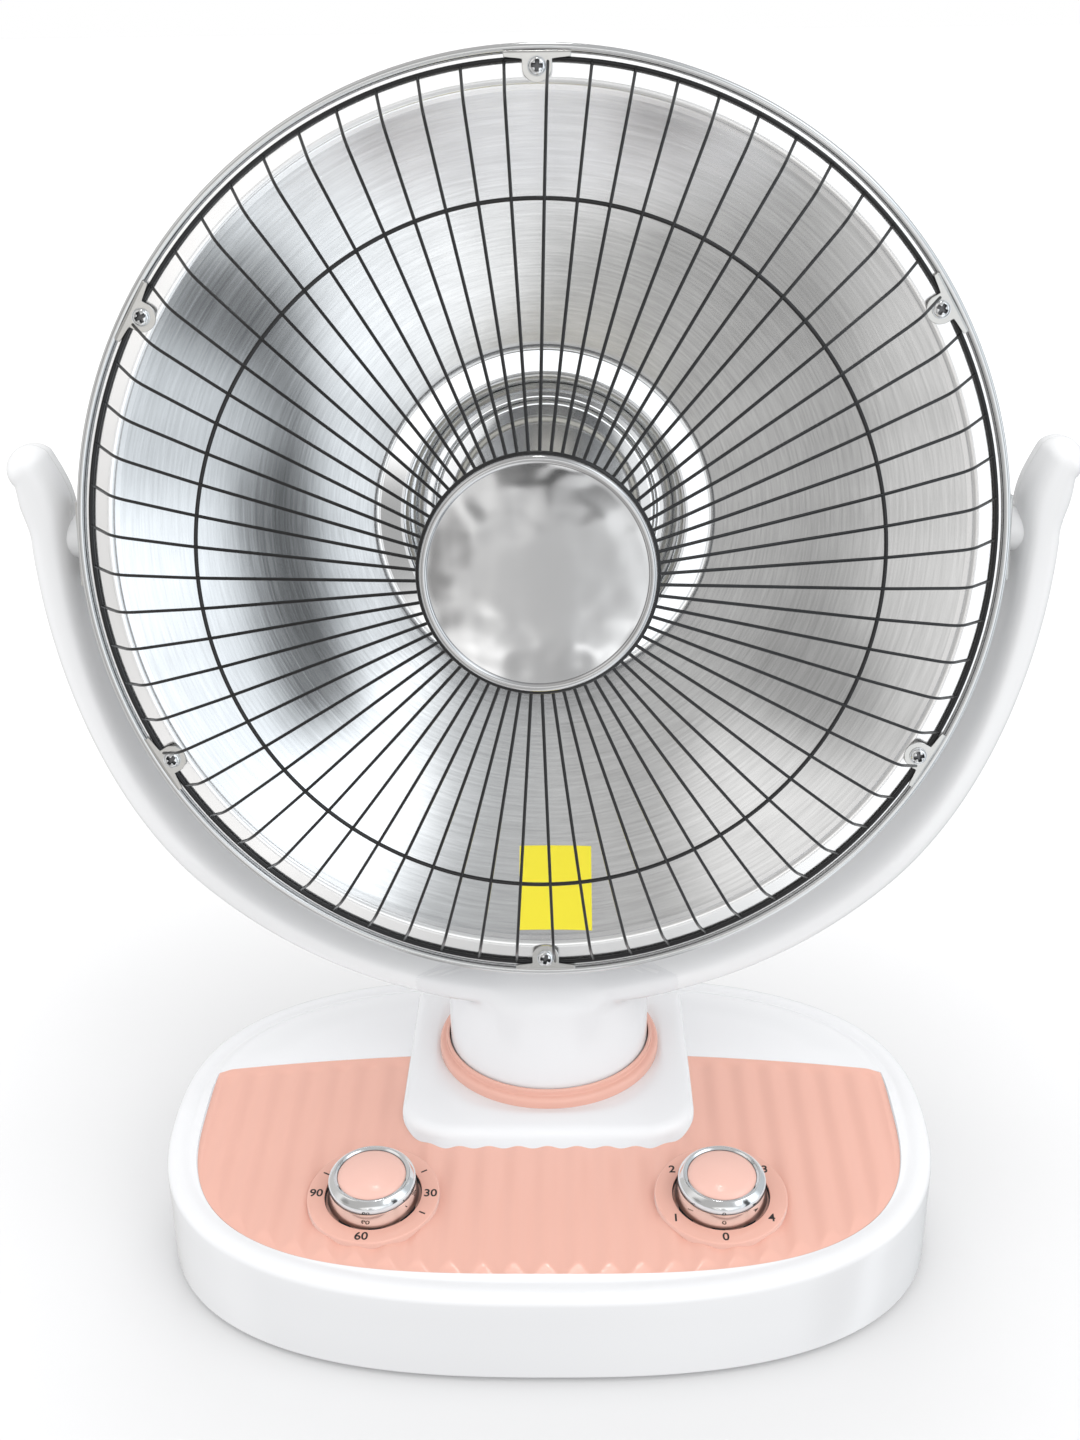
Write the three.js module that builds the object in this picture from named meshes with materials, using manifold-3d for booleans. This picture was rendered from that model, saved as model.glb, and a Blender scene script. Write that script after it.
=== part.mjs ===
// A dish heater on a swivelling, tilting stand, in millimetres, +Z up, its face towards -Y.
import * as THREE from 'three';
import { mergeVertices } from 'three/addons/utils/BufferGeometryUtils.js';
import Module from 'manifold-3d';

const wasm = await Module();
wasm.setup();

// Fits shared by the whole heater
const seatGap = 0.3;
const turningGap = 0.7;
const overrun = 3;

// Dish: a spun bowl with a flat flange and a rolled rim
const dishRadius = 200;
const rimBead = 1.8;
const rimBeadDrop = 0.4;
const flangeWidth = 18;
const flangeInnerRadius = dishRadius - flangeWidth;
const flangeDepth = 1.5;
const bowlLipDepth = 5;
const bowlThroatRadius = 80;
const bowlThroatDepth = 80;
const cupRadius = 62;
const cupShoulderDepth = 4;
const cupHeight = 18;
const cupDepth = bowlThroatDepth + cupShoulderDepth + cupHeight;
const cupDraft = 3;
const sheet = 1;
const restTilt = THREE.MathUtils.degToRad(9);

// Stand: the axis that the dish tilts on, and the arms round it
const pivotDepth = 32;
const armClearance = 10;
const armThickness = 20;
const armRadius = dishRadius + armClearance + armThickness / 2;
const armInner = armRadius - armThickness / 2;
const armOuter = armRadius + armThickness / 2;
const armDepthLow = 84;
const armDepthHigh = 28;
const armWall = 2.6;
const hornRise = 31;
const hornFlare = 6;
const hornRadius = 11;
const armSquareness = 0.6;
const hornTipShares = [[0.35, 1], [0.75, 0.66]];

// Guard of round wire in front of the dish
const wireCount = 69;
const wireRadius = 0.8;
const outerRingInset = 6.2;
const outerRingRadius = dishRadius - outerRingInset;
const outerRingWire = 1.5;
const wireBendInset = 16.8;
const wireBendRadius = outerRingRadius - wireBendInset;
const wireBendReach = 29;
const midRingRadius = 138;
const midRingReach = 49;
const midRingWire = 1.3;
const innerRingWire = 1.3;
const innerRingReach = 84;

// Disc in the middle of the guard
const discRadius = 45.7;
const discOverhang = 0.3;
const innerRingRadius = discRadius - discOverhang;
const discRimWidth = 4.6;
const discRimHeight = 1.6;
const discCrown = 0.8;

// Clips that hold the guard on the flange
const clipCount = 6;
const clipWidth = 12;
const clipBarWidth = 27;
const clipBarDepth = 4.6;
const clipSheet = 0.9;
const clipLip = 3.4;
const clipScrewInset = 9.4;
const clipScrewRadius = dishRadius - clipScrewInset;
const clipTabReach = 6.1;
const clipInnerRadius = clipScrewRadius - clipTabReach;
const clipScrewHead = 3.5;
const clipScrewHeadHeight = 2.2;
const clipScrewShank = 1.6;
const clipScrewLength = 9;

// Heating element on the axis of the dish
const coreRadius = 12.6;
const coreTipLength = 10;
const coreFootRadius = 19;
const coreFootHeight = 7;
const coreStemRadius = 14;
const coreStemLength = 9;
const coilWire = 0.8;
const coilClearance = 1.6;
const coilRadius = coreRadius + coilClearance + coilWire;
const coilTurns = 16;
const coilPitch = 4;
const coilSetback = 4.7;
const coreFootDepth = cupDepth - seatGap;
const coilStartDepth = coreFootDepth - coreFootHeight - coilSetback;
const coreTipDepth = coilStartDepth - coilTurns * coilPitch - coreTipLength;
const socketRadius = 30;
const socketFlangeRadius = 46;
const socketFlange = 3.5;
const socketHeight = 20;

// Cover behind the dish
const coverRadius = 86;
const coverWall = 2;
const coverRoom = 5.7;
const coverDepth = cupDepth + sheet + seatGap + socketHeight + coverRoom + coverWall;
const coverEdge = 12;
const coverBossRadius = 5;
const coverBossPlace = (socketRadius + socketFlangeRadius) / 2;
const coverSlotCount = 6;
const coverSlotWidth = 4;
const coverSlotLength = 22;
const coverSlotMargin = 1;
const coverSlotPlace = coverRadius - coverEdge - coverSlotMargin - coverSlotLength / 2;

// Fixings of the dish to the arms
const bracketSheet = 2;
const bracketWidth = 36;
const bracketProud = 1.6;
const bracketFoot = 15;
const bracketOuter = dishRadius + bracketProud;
const bracketInner = bracketOuter - bracketFoot;
const bracketTail = 14;
const boltRadius = 4;
const boltHeadRadius = 7.5;
const boltHeadHeight = 4;
const boltHeadSink = 6;
const boltTail = 9;
const washerRadius = 9;
const washerThickness = 1.2;
const washerPlay = 0.45;
const armBossWall = 2.2;
const armBossRadius = boltHeadRadius + seatGap + armBossWall;
const bossFace = bracketOuter + washerThickness + 2 * washerPlay;

// Base: plan outline, wall and sloping top
const baseHalfWidth = 183.5;
const baseFront = 167.5;
const baseBack = 72.5;
const planRoundness = 2.6;
const baseWallBottom = 2.5;
const baseWallTop = 43;
const baseRimRise = 4;
const baseRimSlope = 0.075;
const baseRimWidth = 9;
const baseRimLand = 5;
const baseBorder = 15.5;
const baseChamfer = 1.5;
const baseShellWall = 4;
const topFrontRise = 3.5;
const topFrontHeight = baseWallTop + topFrontRise;
const topSlope = 0.085;
const topFrontInset = 15;
const crownHeight = 60;
const rimBackDrop = 4;
const baseRimBackHeight = crownHeight - rimBackDrop;
const backFallWidth = 24;

// Ribbed panel let into the top of the base
const panelPocket = 2.4;
const panelGap = 0.4;
const panelRibPitch = 14;
const panelRibRise = 1.2;
const panelHalfWidth = baseHalfWidth - baseBorder;
const panelRoundness = 3;
const panelFrontEdge = baseFront - topFrontInset;
const panelBackEdge = 13;
const panelBackArc = 643;

// Raised plate and collar round the neck
const neckRadius = 50.3;
const collarWidth = 5;
const collarRadius = neckRadius + turningGap + collarWidth;
const collarHeight = 6.5;
const apronSideMargin = 15;
const apronFrontMargin = 26;
const apronHalfWidth = collarRadius + apronSideMargin;
const apronFront = collarRadius + apronFrontMargin;
const apronBack = 46;
const apronCorner = 24;
const apronRise = 3;
const apronHeight = crownHeight + apronRise;
const apronChamfer = 2.5;

// Neck column, swivel post and its bearing
const neckHeight = 42;
const neckWall = 3;
const neckTopStep = 2;
const neckTopClear = armInner - neckTopStep;
const pivotHeight = apronHeight + neckHeight + armOuter;
const neckBossRadius = 5.5;
const neckBossGap = 4;
const neckScrewShank = 2;
const neckScrewHead = 4;
const neckScrewHeadHeight = 2.4;
const neckScrewLength = 18;
const postRadius = 15;
const postWall = 4;
const postBore = postRadius - postWall;
const postFlangeWidth = 5;
const postFlangeRadius = postRadius + postFlangeWidth;
const postFlange = 3;
const neckBossPlaceX = postFlangeRadius + neckBossGap;
const bearingWall = 4.7;
const bearingOuter = postRadius + seatGap + bearingWall;
const bearingFlangeWidth = 14;
const bearingFlangeRadius = bearingOuter + bearingFlangeWidth;
const bearingFlange = 2;

// Swing drive: motor, crank and slotted lever
const crankDistance = 26;
const crankThrow = 21.8;
const crankPinRadius = 2.5;
const crankHubRadius = 7;
const crankThickness = 4;
const leverThickness = 5;
const leverHubWall = 5;
const leverHubRadius = postRadius + leverHubWall;
const leverWidth = 15;
const leverEndMargin = 5;
const slotPlay = 0.7;
const motorRadius = 24;
const motorHeight = 14.4;
const motorShaft = 3;
const motorGap = 5.7;
const crankBore = motorShaft + turningGap;
const bearingLeverGap = 8.7;

// Bottom plate, feet and what stands on the plate
const plateBottom = 3;
const plateThickness = 2;
const plateInset = baseShellWall + turningGap;
const footRadius = 9;
const footStem = 2.6;
const footInsetX = 65.5;
const footInsetFront = 39.5;
const footInsetBack = 38.5;
const plungerRadius = 4.5;
const plungerTravel = 5;
const plungerHeight = 24;
const plungerCollar = 7;
const plungerPlaceX = 78;
const plungerPlaceY = 12;
const switchHalf = 11;
const switchHeight = 26;
const glandRadius = 5.5;
const glandFlange = 9;
const glandFlangeThickness = 2.5;
const glandBore = 3.4;
const glandInside = 6;
const glandHeight = 17;

// Knobs, dials and the units under them
const knobPlaceX = 79.5;
const knobInset = 59.9;
const knobPlaceY = baseFront - knobInset;
const knobTopRadius = 17.2;
const knobRingWall = 2.3;
const knobRingRadius = knobTopRadius + seatGap + knobRingWall;
const knobSkirtFlare = 1.2;
const knobSkirtRadius = knobRingRadius + knobSkirtFlare;
const dialGap = 1.2;
const dialWidth = 8;
const dialInner = knobSkirtRadius + dialGap;
const dialRadius = dialInner + dialWidth;
const dialThickness = 1.8;
const knobSkirtHeight = 7.5;
const knobHeight = 13.5;
const knobDome = 3;
const knobWall = 2;
const knobRingHeight = 6;
const knobShaftRadius = 3;
const knobShaftReach = 9;
const unitHalf = 20;
const unitHeight = 20;
const unitNeckWall = 0.9;
const unitNeckBore = knobShaftRadius + turningGap;
const unitNeckRadius = unitNeckBore + unitNeckWall;

// Counts that set how round things are
const dishSides = 32;
const planSides = 40;
const knobSides = 18;
const neckSides = 24;
const coverSides = 20;
const roundSides = 20;
const smallSides = 8;
const armStations = 18;
const hornStations = 3;
const armSides = 12;
const armHollowSides = 8;
const ringSides = 4;
const wireSides = 3;
const coilSides = 5;
const coilSteps = 8;
const ribSteps = 4;
const cornerSteps = 4;
const bowlSteps = 4;

// Colours and finishes
const finishes = {
  whitePlastic: { color: 0xf1f2f3, roughness: 0.22, metalness: 0 },
  salmonPlastic: { color: 0xe9a48f, roughness: 0.3, metalness: 0 },
  spunAluminium: { color: 0xc9cbce, roughness: 0.24, metalness: 1 },
  mirrorSteel: { color: 0xd8dadd, roughness: 0.1, metalness: 1 },
  darkWire: { color: 0x2c2b2b, roughness: 0.35, metalness: 0.8 },
  zincSteel: { color: 0xb4b6b8, roughness: 0.35, metalness: 1 },
  chrome: { color: 0xe6e8ea, roughness: 0.06, metalness: 1 },
  ceramic: { color: 0xeae4d8, roughness: 0.7, metalness: 0 },
  coilAlloy: { color: 0x6d655e, roughness: 0.5, metalness: 0.9 },
  blackRubber: { color: 0x1c1c1d, roughness: 0.85, metalness: 0 },
  greyPlastic: { color: 0x8d9196, roughness: 0.5, metalness: 0 },
  blackPlastic: { color: 0x232325, roughness: 0.45, metalness: 0 },
};

// Solids: every piece passes through these few helpers

function solidOf(geometry) {
  const bare = geometry.clone();
  bare.deleteAttribute('normal');
  bare.deleteAttribute('uv');
  const merged = mergeVertices(bare);
  const corners = [];
  const index = merged.index.array;
  for (let i = 0; i < index.length; i += 3) {
    const [a, b, c] = [index[i], index[i + 1], index[i + 2]];
    if (a !== b && b !== c && c !== a) corners.push(a, b, c);
  }
  if (enclosedVolume(merged.attributes.position, corners) < 0) {
    corners.reverse();
  }
  return new wasm.Manifold(new wasm.Mesh({
    numProp: 3,
    vertProperties: new Float32Array(merged.attributes.position.array),
    triVerts: new Uint32Array(corners),
  }));
}

function enclosedVolume(position, corners) {
  const [a, b, c] = [new THREE.Vector3(), new THREE.Vector3(), new THREE.Vector3()];
  let volume = 0;
  for (let i = 0; i < corners.length; i += 3) {
    a.fromBufferAttribute(position, corners[i]);
    b.fromBufferAttribute(position, corners[i + 1]);
    c.fromBufferAttribute(position, corners[i + 2]);
    volume += a.dot(b.cross(c)) / 6;
  }
  return volume;
}

function geometryOf(solid) {
  const mesh = solid.getMesh();
  const geometry = new THREE.BufferGeometry();
  geometry.setAttribute('position', new THREE.BufferAttribute(mesh.vertProperties, 3));
  geometry.setIndex(new THREE.BufferAttribute(mesh.triVerts, 1));
  geometry.computeVertexNormals();
  return geometry;
}

function joined(...solids) {
  return solids.reduce((whole, next) => whole.add(next));
}

function cutBy(body, ...tools) {
  return tools.reduce((rest, tool) => rest.subtract(tool), body);
}

function mesh(name, solid, finish) {
  const material = new THREE.MeshStandardMaterial(finishes[finish]);
  const piece = new THREE.Mesh(geometryOf(solid), material);
  piece.name = name;
  return piece;
}

function placed(geometry, x, y, z, turnX = 0, turnY = 0, turnZ = 0) {
  const turn = new THREE.Matrix4().makeRotationFromEuler(new THREE.Euler(turnX, turnY, turnZ));
  return geometry.applyMatrix4(turn).translate(x, y, z);
}

// A box given by its two opposite corners
function block(x0, x1, y0, y1, z0, z1) {
  const box = new THREE.BoxGeometry(x1 - x0, y1 - y0, z1 - z0);
  return solidOf(box.translate((x0 + x1) / 2, (y0 + y1) / 2, (z0 + z1) / 2));
}

// A turned piece on the Y axis from a list of [radius, place along the axis]
function turned(profile, sides) {
  return new THREE.LatheGeometry(profile.map(([r, y]) => new THREE.Vector2(r, y)), sides);
}

// The same about an upright axis at x, y
function turnedUpright(profile, sides, x = 0, y = 0) {
  return solidOf(placed(turned(profile, sides), x, y, 0, Math.PI / 2));
}

function rod(radius, from, to, sides) {
  return [[0, from], [radius, from], [radius, to], [0, to]];
}

function rodUpright(radius, from, to, x = 0, y = 0, sides = smallSides) {
  return turnedUpright(rod(radius, from, to), sides, x, y);
}

// A rod along X between two places
function rodAcross(radius, from, to, y, z, sides = smallSides) {
  return solidOf(placed(turned(rod(radius, from, to), sides), 0, y, z, 0, 0, -Math.PI / 2));
}

// A round profile, closed on itself, for rings
function roundProfile(ringRadius, level, wire, sides) {
  const profile = [];
  for (let i = 0; i <= sides; i += 1) {
    const turn = ((i % sides) + 1 / 2) / sides * 2 * Math.PI;
    profile.push([ringRadius + wire * Math.cos(turn), level + wire * Math.sin(turn)]);
  }
  return profile;
}

// A closed skin through a list of rings, each with as many points
function lofted(rings) {
  const count = rings[0].length;
  const points = rings.flat();
  const index = [];
  for (let k = 0; k + 1 < rings.length; k += 1) {
    for (let i = 0; i < count; i += 1) {
      const a = k * count + i;
      const b = k * count + (i + 1) % count;
      index.push(a, b, b + count, a, b + count, a + count);
    }
  }
  const last = (rings.length - 1) * count;
  const middles = [rings[0], rings[rings.length - 1]].map(middleOf);
  const first = points.length;
  points.push(...middles);
  for (let i = 0; i < count; i += 1) {
    index.push(first, (i + 1) % count, i);
    index.push(first + 1, last + i, last + (i + 1) % count);
  }
  const geometry = new THREE.BufferGeometry().setFromPoints(points);
  geometry.setIndex(index);
  return solidOf(geometry);
}

function middleOf(ring) {
  const sum = ring.reduce((total, point) => total.add(point), new THREE.Vector3());
  return sum.divideScalar(ring.length);
}

// A plate standing on the plan outline given as [x, y] points
function prism(outline, from, to) {
  const shape = new THREE.Shape(outline.map(([x, y]) => new THREE.Vector2(x, y)));
  const geometry = new THREE.ExtrudeGeometry(shape, { depth: to - from, bevelEnabled: false });
  return solidOf(geometry.translate(0, 0, from));
}

// A closed sheet from the front line of a profile and its thickness
function thickened(line, thickness) {
  const back = line.map(([r, y], i) => {
    const [r0, y0] = line[Math.max(i - 1, 0)];
    const [r1, y1] = line[Math.min(i + 1, line.length - 1)];
    const reach = Math.hypot(r1 - r0, y1 - y0);
    return [r + (y1 - y0) / reach * thickness, y - (r1 - r0) / reach * thickness];
  });
  return [...line, ...back.reverse(), line[0]];
}

// Dish, in its own frame: Y points out of the dish, 0 in the plane of the rim

const sides = [-1, 1];
const clipTurns = Array.from({ length: clipCount }, (_, i) => (i + 1 / 2) / clipCount * 2 * Math.PI);
const bowlCurve = (bowlThroatDepth - bowlLipDepth) / (flangeInnerRadius ** 2 - bowlThroatRadius ** 2);

function bowlDepthAt(radius) {
  return bowlLipDepth + bowlCurve * (flangeInnerRadius ** 2 - radius ** 2);
}

const cupTopRadius = cupRadius + cupDraft;
const coreHole = coreStemRadius + turningGap;
const flangeOuterRadius = dishRadius - rimBead;
const flangeBack = flangeDepth + sheet;

function reflectorBowl() {
  const line = [[coreHole, -cupDepth], [cupRadius, -cupDepth]];
  line.push([cupTopRadius, -(bowlThroatDepth + cupShoulderDepth)]);
  for (let i = 0; i <= bowlSteps; i += 1) {
    const radius = bowlThroatRadius + (flangeInnerRadius - bowlThroatRadius) * i / bowlSteps;
    line.push([radius, -bowlDepthAt(radius)]);
  }
  line.push([flangeInnerRadius + bowlLipDepth - flangeDepth, -flangeDepth]);
  line.push([flangeOuterRadius, -flangeDepth]);
  const skin = solidOf(turned(thickened(line, sheet), dishSides));
  const bead = solidOf(turned(roundProfile(flangeOuterRadius, -rimBeadDrop, rimBead, ringSides), dishSides));
  const holes = clipTurns.map((turn) => aroundDish(
    solidOf(turned(rod(clipScrewShank + seatGap, -flangeDepth - overrun, overrun), smallSides)
      .translate(clipScrewRadius, 0, 0)), turn));
  return cutBy(joined(skin, bead), ...holes);
}

// Turns a solid about the Y axis of the dish
function aroundDish(solid, turn) {
  return solidOf(geometryOf(solid).rotateY(turn));
}

// Guard, with its rings lying behind the wires

const outerRingReach = outerRingWire + seatGap - flangeDepth;
const wireRoute = [
  [outerRingRadius, outerRingReach],
  [wireBendRadius, wireBendReach],
  [midRingRadius, midRingReach],
  [innerRingRadius, innerRingReach],
];

const wireTurns = Array.from({ length: wireCount }, (_, i) => i / wireCount * 2 * Math.PI);

function guardWire(turn, radius) {
  const bends = wireRoute.map(([place, reach]) => new THREE.Vector3(place, reach, 0));
  const rings = bends.map((point, i) => {
    const before = bends[Math.max(i - 1, 0)];
    const after = bends[Math.min(i + 1, bends.length - 1)];
    const along = after.clone().sub(before).normalize();
    const across = new THREE.Vector3(-along.y, along.x, 0);
    return Array.from({ length: wireSides }, (_, k) => {
      const roll = (k + 1 / 2) / wireSides * 2 * Math.PI;
      return point.clone()
        .addScaledVector(across, radius * Math.cos(roll))
        .add(new THREE.Vector3(0, 0, radius * Math.sin(roll)));
    });
  });
  return aroundDish(lofted(rings), turn);
}

// A ring with a flat side towards each wire
function guardRing(radius, reach, wire) {
  const ring = solidOf(turned(roundProfile(radius, reach, wire, ringSides), wireCount));
  return aroundDish(ring, Math.PI / wireCount);
}

function guardGrille() {
  const outer = guardRing(outerRingRadius, outerRingReach, outerRingWire);
  const inner = guardRing(innerRingRadius, innerRingReach, innerRingWire);
  return joined(outer, inner, ...wireTurns.map((turn) => guardWire(turn, wireRadius)));
}

function guardMidRing() {
  const reach = midRingReach - wireRadius - midRingWire - seatGap;
  return solidOf(turned(roundProfile(midRingRadius, reach, midRingWire, ringSides), dishSides));
}

function centreDisc() {
  const ringTop = innerRingReach + innerRingWire * Math.cos(Math.PI / ringSides);
  const back = ringTop + seatGap - discRimHeight / 2;
  const crest = discRadius - discRimWidth / 2;
  const flat = discRadius - discRimWidth;
  const line = [
    [0, back + discCrown],
    [flat, back],
    [crest, back + discRimHeight],
    [discRadius, back + discRimHeight / 2],
  ];
  const front = line.map(([r, y]) => [r, y + sheet]);
  return solidOf(turned([...line, ...front.reverse()], neckSides));
}

// Clips and their screws

const clipFoot = -flangeDepth + seatGap;
const clipUnder = outerRingReach + outerRingWire + seatGap;
const clipTop = clipUnder + clipSheet;

function clipSection(width, inner) {
  const stepRadius = outerRingRadius - outerRingWire - seatGap;
  const outside = dishRadius + seatGap;
  const profile = inner < stepRadius
    ? [[inner, clipFoot], [stepRadius, clipFoot], [stepRadius, clipUnder]]
    : [[inner, clipUnder]];
  const outline = [
    ...profile,
    [outside, clipUnder],
    [outside, clipTop - clipLip],
    [outside + clipSheet, clipTop - clipLip],
    [outside + clipSheet, clipTop],
    [inner, clipTop],
  ];
  const shape = new THREE.Shape(outline.map(([x, y]) => new THREE.Vector2(x, y)));
  return solidOf(new THREE.ExtrudeGeometry(shape, { depth: width, bevelEnabled: false })
    .translate(0, 0, -width / 2));
}

function grilleClip(turn) {
  const bar = clipSection(clipBarWidth, dishRadius - clipBarDepth);
  const tab = clipSection(clipWidth, clipInnerRadius);
  const shaft = rod(clipScrewShank + seatGap, clipFoot - overrun, clipTop + overrun);
  const hole = solidOf(turned(shaft, smallSides).translate(clipScrewRadius, 0, 0));
  const near = wireTurns.filter((wireTurn) => Math.abs(wireTurn - turn) < clipWidth / clipInnerRadius);
  const wireRoom = near.map((wireTurn) => guardWire(wireTurn - turn, wireRadius + seatGap));
  return aroundDish(cutBy(joined(bar, tab), hole, ...wireRoom), turn);
}

function clipScrew(turn) {
  const under = clipTop + seatGap;
  const profile = [
    [0, under - clipScrewLength],
    [clipScrewShank, under - clipScrewLength],
    [clipScrewShank, under],
    [clipScrewHead, under],
    [clipScrewHead, under + clipScrewHeadHeight / 2],
    [clipScrewHead / 2, under + clipScrewHeadHeight],
    [0, under + clipScrewHeadHeight],
  ];
  return aroundDish(solidOf(turned(profile, smallSides).translate(clipScrewRadius, 0, 0)), turn);
}

// Heating element: ceramic core, coil and socket

function elementCore() {
  const tip = -coreTipDepth;
  const foot = -coreFootDepth;
  return solidOf(turned([
    [0, foot - coreStemLength],
    [coreStemRadius, foot - coreStemLength],
    [coreStemRadius, foot],
    [coreFootRadius, foot],
    [coreFootRadius, foot + coreFootHeight],
    [coreRadius, foot + coreFootHeight],
    [coreRadius, tip - coreRadius / 3],
    [coreRadius * 2 / 3, tip],
    [0, tip],
  ], roundSides));
}

// The winding as one unbroken tube, its ends running straight for one wire's width
function heatingCoil() {
  const steps = coilTurns * coilSteps;
  const centres = [];
  for (let i = 0; i <= steps; i += 1) {
    const turn = i / coilSteps * 2 * Math.PI;
    const climb = -coilStartDepth + coilPitch * i / coilSteps;
    centres.push(new THREE.Vector3(coilRadius * Math.cos(turn), climb, coilRadius * Math.sin(turn)));
  }
  const lead = 2 * coilWire;
  const start = new THREE.Vector3(0, 0, -lead).add(centres[0]);
  const end = new THREE.Vector3(0, 0, lead).add(centres[steps]);
  const route = [start, ...centres, end];
  reportCoilGap(centres);
  const rings = route.map((point, i) => {
    const before = route[Math.max(i - 1, 0)];
    const after = route[Math.min(i + 1, route.length - 1)];
    const along = after.clone().sub(before).normalize();
    const outward = new THREE.Vector3(point.x, 0, point.z).projectOnPlane(along).normalize();
    const aside = along.clone().cross(outward);
    return Array.from({ length: coilSides }, (_, k) => {
      const roll = k / coilSides * 2 * Math.PI;
      return point.clone()
        .addScaledVector(outward, coilWire * Math.cos(roll))
        .addScaledVector(aside, coilWire * Math.sin(roll));
    });
  });
  return lofted(rings);
}

function reportCoilGap(centres) {
  let least = Infinity;
  for (let i = 0; i < centres.length; i += 1) {
    for (let k = i + coilSteps / 2; k < centres.length; k += 1) {
      least = Math.min(least, centres[i].distanceTo(centres[k]) - 2 * coilWire);
    }
  }
  console.log(`least gap of the coil to itself: ${least.toFixed(2)} mm`);
}

const socketTop = -(cupDepth + sheet + seatGap);

function coreSocket() {
  const bottom = socketTop - socketHeight;
  const boreFloor = -(coreFootDepth + coreStemLength + turningGap);
  const body = solidOf(turned([
    [0, bottom],
    [socketRadius, bottom],
    [socketRadius, socketTop - socketFlange],
    [socketFlangeRadius, socketTop - socketFlange],
    [socketFlangeRadius, socketTop],
    [coreHole, socketTop],
    [coreHole, boreFloor],
    [0, boreFloor],
  ], roundSides));
  return cutBy(body, ...coverScrewHoles(neckScrewShank + seatGap));
}

function coverScrewHoles(radius) {
  return sides.map((side) => solidOf(
    turned(rod(radius, -coverDepth - overrun, socketTop + overrun), smallSides)
      .translate(0, 0, side * coverBossPlace)));
}

// Cover behind the dish

function rearCover() {
  const rim = -(bowlDepthAt(coverRadius) + sheet + turningGap);
  const back = -coverDepth;
  const shell = solidOf(turned([
    [0, back],
    [coverRadius - coverEdge, back],
    [coverRadius, back + coverEdge],
    [coverRadius, rim],
    [coverRadius - coverWall, rim - sheet],
    [coverRadius - coverWall, back + coverEdge + coverWall / 2],
    [coverRadius - coverEdge - coverWall / 2, back + coverWall],
    [0, back + coverWall],
  ], coverSides));
  const bossEnd = socketTop - socketFlange - seatGap;
  const bosses = sides.map((side) => solidOf(
    turned(rod(coverBossRadius, back + coverWall / 2, bossEnd), smallSides)
      .translate(0, 0, side * coverBossPlace)));
  const slots = Array.from({ length: coverSlotCount }, (_, i) => aroundDish(
    block(
      coverSlotPlace - coverSlotLength / 2, coverSlotPlace + coverSlotLength / 2,
      back - overrun, back + coverWall + overrun,
      -coverSlotWidth / 2, coverSlotWidth / 2,
    ), (i + 1 / 2) / coverSlotCount * 2 * Math.PI));
  const holes = coverScrewHoles(neckScrewShank + seatGap);
  return cutBy(joined(shell, ...bosses), ...slots, ...holes);
}

function rearCoverScrew(side) {
  const under = -coverDepth - seatGap;
  const tip = socketTop - seatGap;
  return solidOf(turned([
    [0, under - neckScrewHeadHeight],
    [neckScrewHead / 2, under - neckScrewHeadHeight],
    [neckScrewHead, under - neckScrewHeadHeight / 2],
    [neckScrewHead, under],
    [neckScrewShank, under],
    [neckScrewShank, tip],
    [0, tip],
  ], smallSides).translate(0, 0, side * coverBossPlace));
}

// Brackets that carry the dish on its pivot bolts

function pivotBracket(side) {
  const footFront = -(flangeBack + seatGap);
  const outline = [
    [bracketInner, footFront],
    [bracketInner, footFront - bracketSheet],
    [bracketOuter - bracketSheet, footFront - bracketSheet],
    [bracketOuter - bracketSheet, -(pivotDepth + bracketTail)],
    [bracketOuter, -(pivotDepth + bracketTail)],
    [bracketOuter, footFront],
  ];
  const shape = new THREE.Shape(outline.map(([x, y]) => new THREE.Vector2(side * x, y)));
  const bent = solidOf(new THREE.ExtrudeGeometry(shape, { depth: bracketWidth, bevelEnabled: false })
    .translate(0, 0, -bracketWidth / 2));
  const reach = dishRadius + boltTail;
  const boltHole = rodAcross(boltRadius + turningGap, -reach, reach, -pivotDepth, 0);
  return cutBy(bent, boltHole);
}

// Stand: hollow arms in two halves, bolts and washers

// Middle line of the arms from the left horn round to the right one
function armMiddles() {
  const right = [];
  for (let i = 0; i <= armStations / 2; i += 1) {
    const turn = i / armStations * Math.PI;
    right.push({
      x: armRadius * Math.sin(turn),
      z: pivotHeight - armRadius * Math.cos(turn),
      outX: Math.sin(turn),
      outZ: -Math.cos(turn),
      thick: armThickness,
      depth: armDepthAt(turn),
    });
  }
  for (let i = 1; i <= hornStations; i += 1) {
    const share = i / hornStations;
    const lean = share ** 2 * Math.PI / 4;
    right.push({
      x: armRadius + hornFlare * share ** 2,
      z: pivotHeight + hornRise * share,
      outX: Math.cos(lean),
      outZ: -Math.sin(lean),
      thick: armThickness + (2 * hornRadius - armThickness) * share,
      depth: armDepthHigh,
    });
  }
  return right;
}

function armDepthAt(turn) {
  const fromLevel = Math.min((Math.PI / 2 - turn) / (Math.PI / 4), 1);
  const eased = fromLevel ** 2 * (3 - 2 * fromLevel);
  return armDepthHigh + (armDepthLow - armDepthHigh) * eased;
}

// One cross-section of the arms, drawn in by the given wall
function armRing(middle, wall, side, corners) {
  const ring = [];
  for (let i = 0; i < corners; i += 1) {
    const turn = i / corners * 2 * Math.PI;
    const out = softened(Math.cos(turn)) * (middle.thick / 2 - wall);
    const along = softened(Math.sin(turn)) * (middle.depth / 2 - wall);
    ring.push(new THREE.Vector3(side * (middle.x + middle.outX * out), along, middle.z + middle.outZ * out));
  }
  return ring;
}

// A squarer circle gives the arms their flat faces and soft corners
function softened(value) {
  return Math.sign(value) * Math.abs(value) ** armSquareness;
}

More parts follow.
